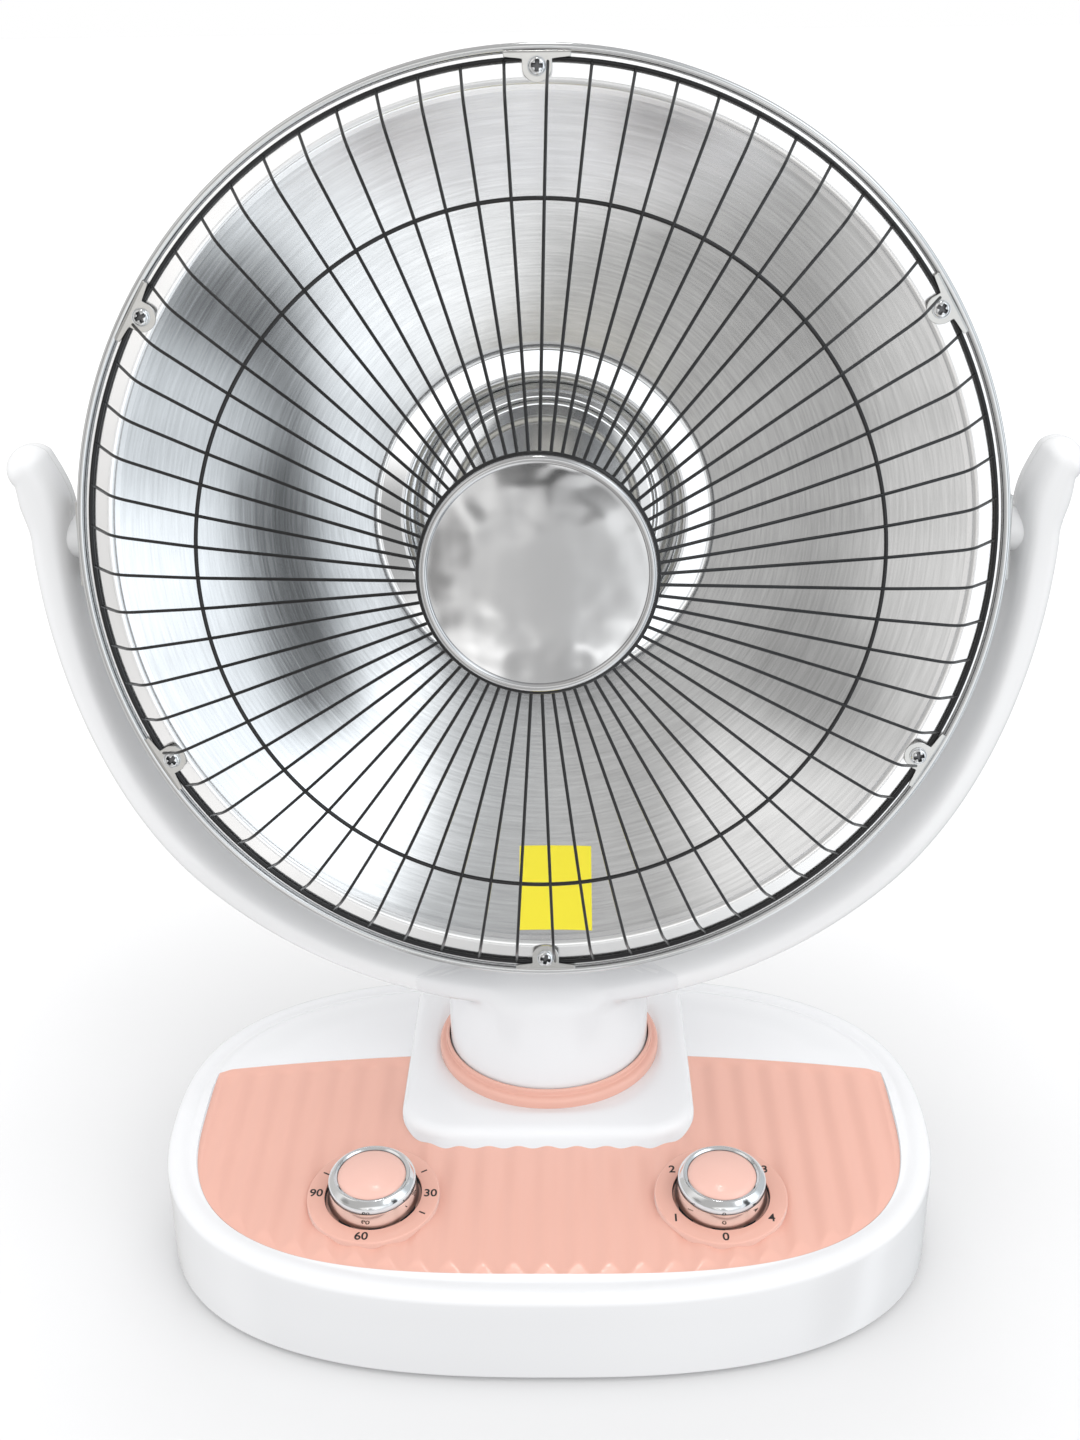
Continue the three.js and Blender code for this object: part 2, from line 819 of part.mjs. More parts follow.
function armBody(wall, corners) {
  const middles = armMiddles();
  const left = middles.slice(1).reverse().map((middle) => armRing(middle, wall, -1, corners));
  const right = middles.map((middle) => armRing(middle, wall, 1, corners));
  const lastRing = right[right.length - 1];
  return lofted([...hornTip(left[0], wall), ...left, ...right, ...hornTip(lastRing, wall).reverse()]);
}

// Rounds the end of a horn off with two smaller rings
function hornTip(ring, wall) {
  const middle = middleOf(ring);
  const side = Math.sign(middle.x);
  const lean = Math.PI / 4;
  const along = new THREE.Vector3(side * Math.sin(lean), 0, Math.cos(lean));
  return hornTipShares.map(([widthShare, reachShare]) => ring.map((point) => point.clone()
    .sub(middle)
    .multiplyScalar(widthShare)
    .add(middle)
    .addScaledVector(along, (hornRadius - wall) * reachShare)));
}

function armShells() {
  const bosses = sides.map((side) => rodAcross(
    armBossRadius, side * bossFace, side * (armInner + armThickness / 2), 0, pivotHeight, roundSides));
  const boltHoles = sides.map((side) => rodAcross(
    boltRadius + seatGap, side * (bossFace - overrun), side * (armOuter + overrun), 0, pivotHeight));
  const headSinks = sides.map((side) => rodAcross(
    boltHeadRadius + seatGap, side * (armOuter - boltHeadSink), side * (armOuter + overrun),
    0, pivotHeight, roundSides));
  const sinkWalls = sides.map((side) => rodAcross(
    armBossRadius, side * armInner, side * (armOuter - armWall / 2), 0, pivotHeight, roundSides));
  const screwHoles = neckScrewPlaces.map(([x, y]) => rodUpright(
    neckScrewShank + seatGap, pivotHeight - armOuter - overrun, pivotHeight - armRadius, x, y));
  const wireHole = rodUpright(
    postBore, pivotHeight - armOuter - overrun, pivotHeight - armRadius, 0, 0, roundSides);
  const hollow = cutBy(armBody(0, armSides), armBody(armWall, armHollowSides));
  return cutBy(joined(hollow, ...bosses, ...sinkWalls), ...boltHoles, ...headSinks, ...screwHoles, wireHole);
}

const neckScrewPlaces = [[-neckBossPlaceX, -neckBossPlaceX / 2], [neckBossPlaceX, neckBossPlaceX / 2]];

function halfSpace(front) {
  const reach = armOuter + hornFlare + 2 * hornRadius;
  const near = seatGap / 2;
  const far = neckRadius + overrun;
  const [y0, y1] = front ? [-far, -near] : [near, far];
  return block(-reach, reach, y0, y1, 0, pivotHeight + reach);
}

function pivotBolt(side) {
  const headOut = armOuter - boltHeadSink + seatGap + boltHeadHeight;
  const headIn = headOut - boltHeadHeight;
  const head = rodAcross(boltHeadRadius, side * headIn, side * headOut, 0, pivotHeight, roundSides);
  const shank = rodAcross(boltRadius, side * (bracketOuter - boltTail), side * headOut, 0, pivotHeight);
  return joined(head, shank);
}

function frictionWasher(side) {
  const near = bracketOuter + washerPlay;
  const far = near + washerThickness;
  const disc = rodAcross(washerRadius, side * near, side * far, 0, pivotHeight, roundSides);
  const hole = rodAcross(
    boltRadius + seatGap, side * (near - overrun), side * (far + overrun), 0, pivotHeight);
  return cutBy(disc, hole);
}

// Heights of the swing drive, stacked on the bottom plate

const plateTop = plateBottom + plateThickness;
const motorTop = plateTop + seatGap + motorHeight;
const crankBottom = motorTop + motorGap;
const crankTop = crankBottom + crankThickness;
const postBottom = crankTop + 2 * seatGap;
const leverBottom = postBottom + seatGap;
const leverTop = leverBottom + leverThickness;
const bearingBottom = leverTop + bearingLeverGap;

// Neck: column, its screws, the swivel post and the bearing

const bearingTop = apronHeight + seatGap + bearingFlange;
const neckFloor = bearingTop + seatGap;
const neckFloorTop = neckFloor + neckWall;

function neckColumn() {
  const top = pivotHeight - neckTopClear + neckRadius;
  const tube = turnedUpright([
    [postRadius + seatGap, neckFloor],
    [neckRadius, neckFloor],
    [neckRadius, top],
    [neckRadius - neckWall, top],
    [neckRadius - neckWall, neckFloorTop],
    [postRadius + seatGap, neckFloorTop],
    [postRadius + seatGap, neckFloor],
  ], neckSides);
  const bosses = neckScrewPlaces.map(([x, y]) => rodUpright(
    neckBossRadius, neckFloorTop - neckWall / 2, pivotHeight - armRadius, x, y));
  const bores = neckScrewPlaces.map(([x, y]) => rodUpright(
    neckScrewShank + seatGap, neckScrewTip - overrun, pivotHeight, x, y));
  const dishSweep = rodAcross(neckTopClear, -2 * neckRadius, 2 * neckRadius, 0, pivotHeight, neckSides);
  const room = armBody(-seatGap, armSides);
  return cutBy(joined(tube, ...bosses), ...bores, dishSweep, room);
}

const armInside = (armOuter - armWall) * Math.cos(Math.PI / 2 / armStations);
const neckScrewEdge = neckBossPlaceX + neckScrewHead;
const neckScrewHeadUnder = pivotHeight - Math.sqrt(armInside ** 2 - neckScrewEdge ** 2) + turningGap;
const neckScrewTip = neckScrewHeadUnder - neckScrewLength;

function neckScrew([x, y]) {
  return turnedUpright([
    [0, neckScrewTip],
    [neckScrewShank, neckScrewTip],
    [neckScrewShank, neckScrewHeadUnder],
    [neckScrewHead, neckScrewHeadUnder],
    [neckScrewHead, neckScrewHeadUnder + neckScrewHeadHeight / 2],
    [neckScrewHead / 2, neckScrewHeadUnder + neckScrewHeadHeight],
    [0, neckScrewHeadUnder + neckScrewHeadHeight],
  ], smallSides, x, y);
}

function swivelPost() {
  const under = neckFloorTop + seatGap;
  return turnedUpright([
    [postBore, postBottom],
    [postRadius, postBottom],
    [postRadius, under],
    [postFlangeRadius, under],
    [postFlangeRadius, under + postFlange],
    [postBore, under + postFlange],
    [postBore, postBottom],
  ], roundSides);
}

function swivelBearing() {
  const bore = postRadius + seatGap;
  const under = apronHeight + seatGap;
  return turnedUpright([
    [bore, bearingBottom],
    [bearingOuter, bearingBottom],
    [bearingOuter, under],
    [bearingFlangeRadius, under],
    [bearingFlangeRadius, bearingTop],
    [bore, bearingTop],
    [bore, bearingBottom],
  ], roundSides);
}

function neckCollar() {
  const under = apronHeight + seatGap;
  const inner = neckRadius + turningGap;
  const outer = collarRadius;
  return turnedUpright([
    [inner, under],
    [outer - collarWidth / 4, under],
    [outer, under + collarHeight / 4],
    [outer - collarWidth / 4, under + collarHeight / 2],
    [inner + collarWidth / 2, under + collarHeight * 3 / 4],
    [inner + collarWidth / 4, under + collarHeight],
    [inner, under + collarHeight * 3 / 4],
    [inner, under],
  ], neckSides);
}

// Swing drive: the crank pin runs in the slot of the lever, so the neck swings as the crank turns

const pinFar = crankDistance + crankThrow;
const pinNear = Math.hypot(crankDistance, crankThrow);

function slottedLever() {
  const hub = rodUpright(leverHubRadius, leverBottom, leverTop, 0, 0, roundSides);
  const end = pinFar + crankPinRadius + slotPlay + leverEndMargin;
  const arm = block(-leverWidth / 2, leverWidth / 2, 0, end, leverBottom, leverTop);
  const bore = rodUpright(postRadius + seatGap, leverBottom - overrun, leverTop + overrun, 0, 0, roundSides);
  const half = crankPinRadius + slotPlay;
  const slot = block(-half, half, pinNear - half, pinFar + half, leverBottom - overrun, leverTop + overrun);
  return cutBy(joined(hub, arm), bore, slot);
}

function crank() {
  const hub = rodUpright(crankHubRadius, crankBottom, crankTop, 0, crankDistance, roundSides);
  const web = block(
    -crankHubRadius * 2 / 3, crankHubRadius * 2 / 3,
    crankDistance, pinFar + crankPinRadius, crankBottom, crankTop);
  const pin = rodUpright(crankPinRadius, crankTop - crankThickness / 2, leverTop, 0, pinFar);
  const bore = rodUpright(crankBore, crankBottom - overrun, crankTop + overrun, 0, crankDistance);
  return cutBy(joined(hub, web, pin), bore);
}

function swingMotor() {
  const bottom = plateTop + seatGap;
  const can = rodUpright(motorRadius, bottom, motorTop, 0, crankDistance, roundSides);
  const shaft = rodUpright(motorShaft, bottom, crankTop - seatGap, 0, crankDistance);
  return joined(can, shaft);
}

// Base: plan outline as a squarer ellipse, drawn in by an inset

const planMiddle = (baseBack - baseFront) / 2;
const planHalfDepth = (baseBack + baseFront) / 2;

function planRing(inset, height) {
  return planOutline(baseHalfWidth - inset, planHalfDepth - inset, planMiddle, planRoundness)
    .map(([x, y]) => new THREE.Vector3(x, y, height(x, y)));
}

function planOutline(halfWidth, halfDepth, middle, roundness) {
  return Array.from({ length: planSides }, (_, i) => {
    const turn = i / planSides * 2 * Math.PI;
    const power = (value) => Math.sign(value) * Math.abs(value) ** (2 / roundness);
    return [halfWidth * power(Math.cos(turn)), middle + halfDepth * power(Math.sin(turn))];
  });
}

// Height of the sloping top, flat round the neck
function topHeight(y) {
  return Math.min(topFrontHeight + topSlope * (y + baseFront - topFrontInset), crownHeight);
}

// The rim climbs with the top as far as its height at the back
function rimHeight(y) {
  return Math.min(baseWallTop + baseRimRise + baseRimSlope * (y + baseFront), baseRimBackHeight);
}

function baseBody(wall) {
  const inward = baseBorder + wall;
  const drop = wall;
  return lofted([
    planRing(baseChamfer + wall, () => baseWallBottom),
    planRing(wall, () => baseWallBottom + baseChamfer),
    planRing(wall, (x, y) => rimHeight(y) - baseRimRise - drop),
    planRing(wall + baseRimRise / 3, (x, y) => rimHeight(y) - baseRimRise / 4 - drop),
    planRing(wall + baseRimLand, (x, y) => rimHeight(y) - drop),
    planRing(wall + baseRimWidth, (x, y) => rimHeight(y) - baseRimRise / 4 - drop),
    planRing(inward, (x, y) => Math.min(topHeight(y), backHeight(y, baseBorder)) - drop),
    planRing(inward + backFallWidth, (x, y) => topHeight(y) - drop),
  ]);
}

// The hollow under the top, open below
function baseHollow() {
  const wall = baseShellWall;
  const inward = baseBorder + wall;
  return lofted([
    planRing(wall, () => baseWallBottom - overrun),
    planRing(wall, (x, y) => rimHeight(y) - baseRimRise - wall),
    planRing(inward, (x, y) => Math.min(topHeight(y), backHeight(y, baseBorder)) - wall),
    planRing(inward + backFallWidth, (x, y) => topHeight(y) - wall),
  ]);
}

// At the back, the border lies nearer to the rim than to the crown
function backHeight(y, inset) {
  const share = inset / (inset + backFallWidth);
  return rimHeight(y) + (crownHeight - rimHeight(y)) * share;
}

function baseShell() {
  const hollow = cutBy(baseBody(0), baseHollow());
  const neckHole = rodUpright(bearingOuter + seatGap, 0, crownHeight + overrun, 0, 0, roundSides);
  const pocket = cutBy(panelBlock(panelGap, -panelPocket, overrun), apronBlock(0));
  const shaftHoles = sides.map((side) => knobPlaced(
    turned(rod(unitNeckRadius + seatGap, -baseShellWall - 2 * overrun, overrun), smallSides), side));
  const glandHole = rodAlong(glandRadius + seatGap, baseBack - baseShellWall - overrun, baseBack + overrun);
  return cutBy(hollow, neckHole, pocket, ...shaftHoles, glandHole);
}

// A rod along Y at the height of the cord inlet
function rodAlong(radius, from, to) {
  return solidOf(turned(rod(radius, from, to), smallSides).translate(0, 0, glandHeight));
}

// Panel: its outline is a squarer ellipse cut by a wide arc behind and by the apron

function panelOutlineBlock(gap) {
  const halfDepth = panelFrontEdge + planMiddle + gap;
  const outline = planOutline(panelHalfWidth + gap, halfDepth, planMiddle, panelRoundness);
  const field = prism(outline, 0, crownHeight + 2 * overrun);
  const arc = rodUpright(
    panelBackArc + gap, 0, crownHeight + 2 * overrun, 0, -(panelBackArc + panelBackEdge), 4 * planSides);
  return field.intersect(arc);
}

// The part of the panel's field between two levels above the sloping top
function panelBlock(gap, low, high) {
  const front = -baseFront;
  const side = [
    [front, topHeight(front) + low],
    [0, topHeight(front) - topSlope * front + low],
    [0, topHeight(front) - topSlope * front + high],
    [front, topHeight(front) + high],
  ];
  return panelOutlineBlock(gap).intersect(acrossBase(side));
}

// A prism along X from an outline given as [y, z] points
function acrossBase(side) {
  const shape = new THREE.Shape(side.map(([y, z]) => new THREE.Vector2(y, z)));
  const length = 2 * baseHalfWidth;
  const geometry = new THREE.ExtrudeGeometry(shape, { depth: length, bevelEnabled: false });
  geometry.translate(0, 0, -length / 2);
  geometry.applyMatrix4(new THREE.Matrix4().set(0, 0, 1, 0, 1, 0, 0, 0, 0, 1, 0, 0, 0, 0, 0, 1));
  return solidOf(geometry);
}

function controlPanel() {
  const ribCount = Math.ceil(2 * panelHalfWidth / panelRibPitch) + 1;
  const start = -ribCount * panelRibPitch / 2;
  const wave = [];
  for (let i = 0; i <= ribCount * ribSteps; i += 1) {
    const turn = i / ribSteps * 2 * Math.PI;
    wave.push([start + i / ribSteps * panelRibPitch, -panelRibRise / 2 * (1 + Math.cos(turn))]);
  }
  const floor = -panelPocket + seatGap;
  wave.push([-start, floor], [start, floor]);
  const shape = new THREE.Shape(wave.map(([x, z]) => new THREE.Vector2(x, z)));
  const run = baseFront + overrun;
  const slab = new THREE.ExtrudeGeometry(shape, { depth: run, bevelEnabled: false });
  const rise = topHeight(-baseFront);
  const shear = new THREE.Matrix4().set(1, 0, 0, 0, 0, 0, 1, -baseFront, 0, 1, topSlope, rise, 0, 0, 0, 1);
  const ribbed = solidOf(slab.applyMatrix4(shear)).intersect(panelOutlineBlock(0));
  const holes = sides.map((side) => knobPlaced(
    turned(rod(unitNeckRadius + seatGap, -2 * overrun, 2 * overrun), smallSides), side));
  return cutBy(ribbed, apronBlock(panelGap), ...holes);
}

// Apron: a rounded plate, flat on top, thick enough to stand on the slope

function apronRing(gap, z) {
  const halfWidth = apronHalfWidth + gap;
  const front = -(apronFront + gap);
  const back = apronBack + gap;
  const corner = apronCorner + gap;
  const ring = [[halfWidth, back], [-halfWidth, back]];
  for (const side of sides) {
    for (let i = 0; i <= cornerSteps; i += 1) {
      const turn = (side < 0 ? i : cornerSteps - i) / cornerSteps * Math.PI / 2;
      const x = side * (halfWidth - corner + corner * Math.cos(turn));
      ring.push([x, front + corner - corner * Math.sin(turn)]);
    }
  }
  return ring.map(([x, y]) => new THREE.Vector3(x, y, z));
}

function apronBlock(gap) {
  return lofted([apronRing(gap, 0), apronRing(gap, apronHeight + overrun)]);
}

function apronPlate() {
  const plate = lofted([
    apronRing(0, baseWallTop),
    apronRing(0, apronHeight - apronChamfer),
    apronRing(-apronChamfer / 3, apronHeight - apronChamfer / 3),
    apronRing(-apronChamfer, apronHeight),
  ]);
  const neckHole = rodUpright(bearingOuter + seatGap, 0, apronHeight + overrun, 0, 0, roundSides);
  return cutBy(plate, baseBody(-seatGap), neckHole);
}

// Knobs and what belongs to them, in a frame whose Y axis stands square on the panel

function knobPlaced(geometry, side) {
  geometry.rotateX(Math.PI / 2 + Math.atan(topSlope));
  return solidOf(geometry.translate(side * knobPlaceX, -knobPlaceY, topHeight(-knobPlaceY)));
}

const knobFoot = 2 * seatGap;
const knobShoulder = knobFoot + knobSkirtHeight;

function dialPlate(side) {
  const top = seatGap + dialThickness;
  return knobPlaced(turned([
    [dialInner, seatGap],
    [dialRadius, seatGap],
    [dialRadius, top - dialThickness / 3],
    [dialRadius - dialThickness / 3, top],
    [dialInner, top],
    [dialInner, seatGap],
  ], knobSides), side);
}

function knobBody(side) {
  const ceiling = knobFoot + knobHeight - knobWall;
  const crown = knobFoot + knobHeight;
  return knobPlaced(turned([
    [0, -knobShaftReach],
    [knobShaftRadius, -knobShaftReach],
    [knobShaftRadius, ceiling],
    [knobTopRadius - knobWall, ceiling],
    [knobTopRadius - knobWall, knobShoulder - knobWall],
    [knobSkirtRadius - knobWall, knobFoot],
    [knobSkirtRadius, knobFoot],
    [knobRingRadius, knobShoulder],
    [knobTopRadius, knobShoulder],
    [knobTopRadius, crown],
    [knobTopRadius * 2 / 3, crown + knobDome * 2 / 3],
    [0, crown + knobDome],
  ], knobSides), side);
}

function knobRing(side) {
  const bottom = knobShoulder + seatGap;
  const top = bottom + knobRingHeight;
  const inner = knobTopRadius + seatGap;
  return knobPlaced(turned([
    [inner, bottom],
    [knobRingRadius, bottom],
    [knobRingRadius, top - knobRingWall / 2],
    [knobRingRadius - knobRingWall / 2, top],
    [inner, top],
    [inner, bottom],
  ], knobSides), side);
}

function knobUnit(side) {
  const top = -(baseShellWall + seatGap);
  const box = new THREE.BoxGeometry(2 * unitHalf, unitHeight, 2 * unitHalf);
  const body = knobPlaced(box.translate(0, top - unitHeight / 2, 0), side);
  const neckTop = knobShoulder - 2 * knobWall;
  const neck = knobPlaced(turned(rod(unitNeckRadius, top - overrun, neckTop), smallSides), side);
  const boreDepth = knobShaftReach + overrun;
  const bore = knobPlaced(turned(rod(unitNeckBore, -boreDepth, neckTop + overrun), smallSides), side);
  return cutBy(joined(body, neck), bore);
}

// Bottom plate and what stands on it

const footRows = [footInsetFront - baseFront, baseBack - footInsetBack];
const footPlaces = footRows.flatMap((y) => sides.map((side) => [side * (baseHalfWidth - footInsetX), y]));

function bottomPlate() {
  const outline = planOutline(
    baseHalfWidth - plateInset, planHalfDepth - plateInset, planMiddle, planRoundness);
  const holes = footPlaces.map(([x, y]) => rodUpright(footStem + seatGap, 0, plateTop + overrun, x, y));
  const plungerHole = rodUpright(
    plungerRadius + turningGap, 0, plateTop + overrun, plungerPlaceX, plungerPlaceY);
  return cutBy(prism(outline, plateBottom, plateTop), ...holes, plungerHole);
}

function foot([x, y]) {
  const top = plateBottom - seatGap;
  return turnedUpright([
    [0, 0],
    [footRadius - seatGap, 0],
    [footRadius, top],
    [footStem, top],
    [footStem, plateTop + seatGap],
    [0, plateTop + seatGap],
  ], knobSides / 2, x, y);
}

const collarBottom = plateTop + seatGap + plungerTravel;

function tipPlunger() {
  const collarTop = collarBottom + plateThickness;
  return turnedUpright([
    [0, seatGap],
    [plungerRadius, seatGap],
    [plungerRadius, collarBottom],
    [plungerCollar, collarBottom],
    [plungerCollar, collarTop],
    [plungerRadius, collarTop],
    [plungerRadius, plungerHeight],
    [0, plungerHeight],
  ], smallSides, plungerPlaceX, plungerPlaceY);
}

function tipSwitch() {
  const bottom = plateTop + seatGap;
  const body = block(
    plungerPlaceX - switchHalf, plungerPlaceX + switchHalf,
    plungerPlaceY - switchHalf, plungerPlaceY + switchHalf,
    bottom, bottom + switchHeight);
  const collarRoom = rodUpright(
    plungerCollar + turningGap, bottom - overrun, collarBottom + plateThickness + turningGap,
    plungerPlaceX, plungerPlaceY);
  const guide = rodUpright(
    plungerRadius + turningGap, bottom, plungerHeight + turningGap, plungerPlaceX, plungerPlaceY);
  return cutBy(body, collarRoom, guide);
}

function inletGland() {
  const wall = baseBack + seatGap;
  const inside = baseBack - baseShellWall - glandInside;
  return solidOf(turned([
    [glandBore, inside],
    [glandRadius, inside],
    [glandRadius, wall],
    [glandFlange, wall],
    [glandFlange - seatGap, wall + glandFlangeThickness],
    [glandBore, wall + glandFlangeThickness],
    [glandBore, inside],
  ], smallSides).translate(0, 0, glandHeight));
}

// Assembly: the base stands on the floor, the neck swivels on it and the dish tilts on the arms

const base = new THREE.Group();
base.add(
  mesh('base_shell', baseShell(), 'whitePlastic'),
  mesh('bottom_plate', bottomPlate(), 'whitePlastic'),
  mesh('control_panel', controlPanel(), 'salmonPlastic'),
  mesh('apron_plate', apronPlate(), 'whitePlastic'),
  mesh('neck_collar', neckCollar(), 'salmonPlastic'),
  mesh('swivel_bearing', swivelBearing(), 'greyPlastic'),
  mesh('swing_motor', swingMotor(), 'zincSteel'),
  mesh('crank', crank(), 'blackPlastic'),
  mesh('tip_switch', tipSwitch(), 'greyPlastic'),
  mesh('tip_plunger', tipPlunger(), 'blackPlastic'),
  mesh('inlet_gland', inletGland(), 'blackRubber'),
);
footPlaces.forEach((place, i) => base.add(mesh(`foot_${i + 1}`, foot(place), 'blackRubber')));
[['timer', -1], ['selector', 1]].forEach(([name, side]) => base.add(
  mesh(`${name}_dial`, dialPlate(side), 'salmonPlastic'),
  mesh(`${name}_knob`, knobBody(side), 'salmonPlastic'),
  mesh(`${name}_knob_ring`, knobRing(side), 'chrome'),
  mesh(`${name}_unit`, knobUnit(side), 'greyPlastic'),
));

const neck = new THREE.Group();
const shells = armShells();
neck.add(
  mesh('arm_front_shell', shells.intersect(halfSpace(true)), 'whitePlastic'),
  mesh('arm_rear_shell', shells.intersect(halfSpace(false)), 'whitePlastic'),
  mesh('neck_column', neckColumn(), 'whitePlastic'),
  mesh('swivel_post', swivelPost(), 'zincSteel'),
  mesh('slotted_lever', slottedLever(), 'greyPlastic'),
);
neckScrewPlaces.forEach((place, i) => neck.add(mesh(`neck_screw_${i + 1}`, neckScrew(place), 'zincSteel')));
[['left', -1], ['right', 1]].forEach(([name, side]) => neck.add(
  mesh(`pivot_bolt_${name}`, pivotBolt(side), 'zincSteel'),
  mesh(`friction_washer_${name}`, frictionWasher(side), 'blackPlastic'),
));

const dish = new THREE.Group();
dish.position.y = pivotDepth;
dish.add(
  mesh('reflector_bowl', reflectorBowl(), 'spunAluminium'),
  mesh('guard_grille', guardGrille(), 'darkWire'),
  mesh('guard_mid_ring', guardMidRing(), 'darkWire'),
  mesh('centre_disc', centreDisc(), 'mirrorSteel'),
  mesh('element_core', elementCore(), 'ceramic'),
  mesh('heating_coil', heatingCoil(), 'coilAlloy'),
  mesh('core_socket', coreSocket(), 'ceramic'),
  mesh('rear_cover', rearCover(), 'whitePlastic'),
);
clipTurns.forEach((turn, i) => dish.add(
  mesh(`grille_clip_${i + 1}`, grilleClip(turn), 'zincSteel'),
  mesh(`clip_screw_${i + 1}`, clipScrew(turn), 'zincSteel'),
));
[['left', -1], ['right', 1]].forEach(([name, side], i) => dish.add(
  mesh(`pivot_bracket_${name}`, pivotBracket(side), 'zincSteel'),
  mesh(`rear_cover_screw_${i + 1}`, rearCoverScrew(side), 'zincSteel'),
));

const head = new THREE.Group();
head.position.z = pivotHeight;
head.rotation.x = Math.PI - restTilt;
head.add(dish);

// The origin lies on the floor under the middle of the heater's bounding box
const heater = new THREE.Group();
const stand = new THREE.Group();
stand.add(base, neck, head);
heater.add(stand);
heater.updateMatrixWorld(true);
const extent = new THREE.Box3().setFromObject(heater, true);
stand.position.y = -(extent.min.y + extent.max.y) / 2;
console.log(`the neck axis lies at y = ${stand.position.y.toFixed(2)} mm`);

export default heater;
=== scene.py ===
from math import atan, atan2, copysign, cos, hypot, pi, radians, sin, sqrt

import bmesh
import bpy
import numpy as np
from mathutils import Matrix, Vector, noise


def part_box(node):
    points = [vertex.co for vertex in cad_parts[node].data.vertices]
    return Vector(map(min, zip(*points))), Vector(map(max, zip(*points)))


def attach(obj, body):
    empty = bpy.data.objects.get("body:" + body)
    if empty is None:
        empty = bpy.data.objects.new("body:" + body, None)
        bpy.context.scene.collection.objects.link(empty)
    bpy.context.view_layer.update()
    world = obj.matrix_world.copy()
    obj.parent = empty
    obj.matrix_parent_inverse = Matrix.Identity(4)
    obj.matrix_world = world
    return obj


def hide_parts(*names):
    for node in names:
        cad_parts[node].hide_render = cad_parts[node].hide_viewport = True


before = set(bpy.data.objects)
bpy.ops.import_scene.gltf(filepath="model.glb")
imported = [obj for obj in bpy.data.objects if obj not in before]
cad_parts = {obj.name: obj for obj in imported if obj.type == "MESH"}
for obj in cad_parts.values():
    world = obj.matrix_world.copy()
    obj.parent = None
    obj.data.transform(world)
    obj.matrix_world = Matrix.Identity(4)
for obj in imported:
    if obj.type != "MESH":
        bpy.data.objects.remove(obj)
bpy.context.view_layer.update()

# The looks of a dish heater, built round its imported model. Sizes are in millimetres until a
# piece is made, and each piece is drawn in the frame of the dish, of the neck or of a knob.
MM = 0.001


def middle_of(node):
    """The middle of a node's box, in millimetres."""
    low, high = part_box(node)
    return (low + high) / 2 / MM


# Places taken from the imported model
NECK_Y = middle_of("neck_collar").y
PIVOT_Z = middle_of("pivot_bolt_left").z
TILT = radians(9)
PIVOT_DEPTH = 32
SIDES = (("left", -1), ("right", 1))

# Edges sharper than this many degrees stay sharp, unless a piece asks for another limit
SHARP = 34

# Depth of the orange peel on plastic, in metres
PEEL = 0.00001

# Dish
DISH_RADIUS = 200
DISH_SIDES = 256
BEAD_RADIUS = 1.8
BEAD_DROP = 0.4
FLANGE_INNER = 182
FLANGE_DEPTH = 1.5
LIP_DEPTH = 5
THROAT_RADIUS = 80
THROAT_DEPTH = 80
SHOULDER_RADIUS = 65
SHOULDER_DEPTH = 79.2
CUP_RADIUS = 62
CUP_DEPTH = 102
CUP_RING_INNER = 44
CUP_RING_OUTER = 55
CUP_RING_RISE = 2
CORE_HOLE = 14.7
SHEET = 1.0

# Label
LABEL_LEFT = -12.4
LABEL_RIGHT = 21.4
LABEL_INNER = 149.5
LABEL_OUTER = 180.5
LABEL_THICK = 0.15

# Guard: rings as (radius, height, half the wire), the wires' route as corners to be softened
WIRE_COUNT = 69
WIRE_RADIUS = 0.67
OUTER_RING = (193.8, 0.3, 1.0)
MID_RING = (138, 48, 0.85)
INNER_RING = (45.4, 84, 1.2)
WIRE_ROUTE = [(193.8, 0.3, 0), (177, 29, 8), (138, 49, 12), (45.4, 84, 0)]

# Disc
DISC_RADIUS = 45.1
DISC_RIM = 3.2
DISC_BACK = 84.4
DISC_SHEET = 1
DISC_CROWN = 0.8
DISC_ROLL = 1.6
DENT_DEPTH = 0.2

# Clips and screws
CLIP_COUNT = 6
CLIP_TOP = 3.0
CLIP_SHEET = 0.9
CLIP_TAB = 6
CLIP_BAR = 13.5
CLIP_INNER = 184.5
CLIP_OUTER = 196.7
CLIP_LIP = 1.6
CLIP_BAR_DEPTH = 2.7
CLIP_BORE = 1.7
CLIP_FOOT = 4.2
CLIP_SCREW_PLACE = 190.6
CROSS_WIDTH = 0.19
CROSS_DEPTH = 0.8

# Element
CORE_RADIUS = 12.6
CORE_TIP = -16
CORE_SHANK = 14
CORE_COLLAR = 19
CORE_COLLAR_HEIGHT = 7
THREAD_RISE = 1.1
COIL_RADIUS = 15
COIL_WIRE = 0.8
COIL_TURNS = 16
COIL_PITCH = 4
COIL_START = 90

# Cover behind the dish
COVER_RADIUS = 86
COVER_DEPTH = 131
COVER_EDGE = 12
COVER_SHEET = 2
COVER_SCREW_PLACE = 38
SLOT_COUNT = 6
SLOT_PLACE = 62
SLOT_HALF_LENGTH = 9
SLOT_HALF_WIDTH = 2

# Brackets and washers
BRACKET_INNER = 186.6
BRACKET_OUTER = 201.6
BRACKET_DROP = 46
BRACKET_HALF_WIDTH = 18
BRACKET_CORNER = 10
BRACKET_SHEET = 2
WASHER_GAP = 0.45
WASHER_BORE = 4.3
WASHER_RADIUS = 9
WASHER_THICK = 1.2

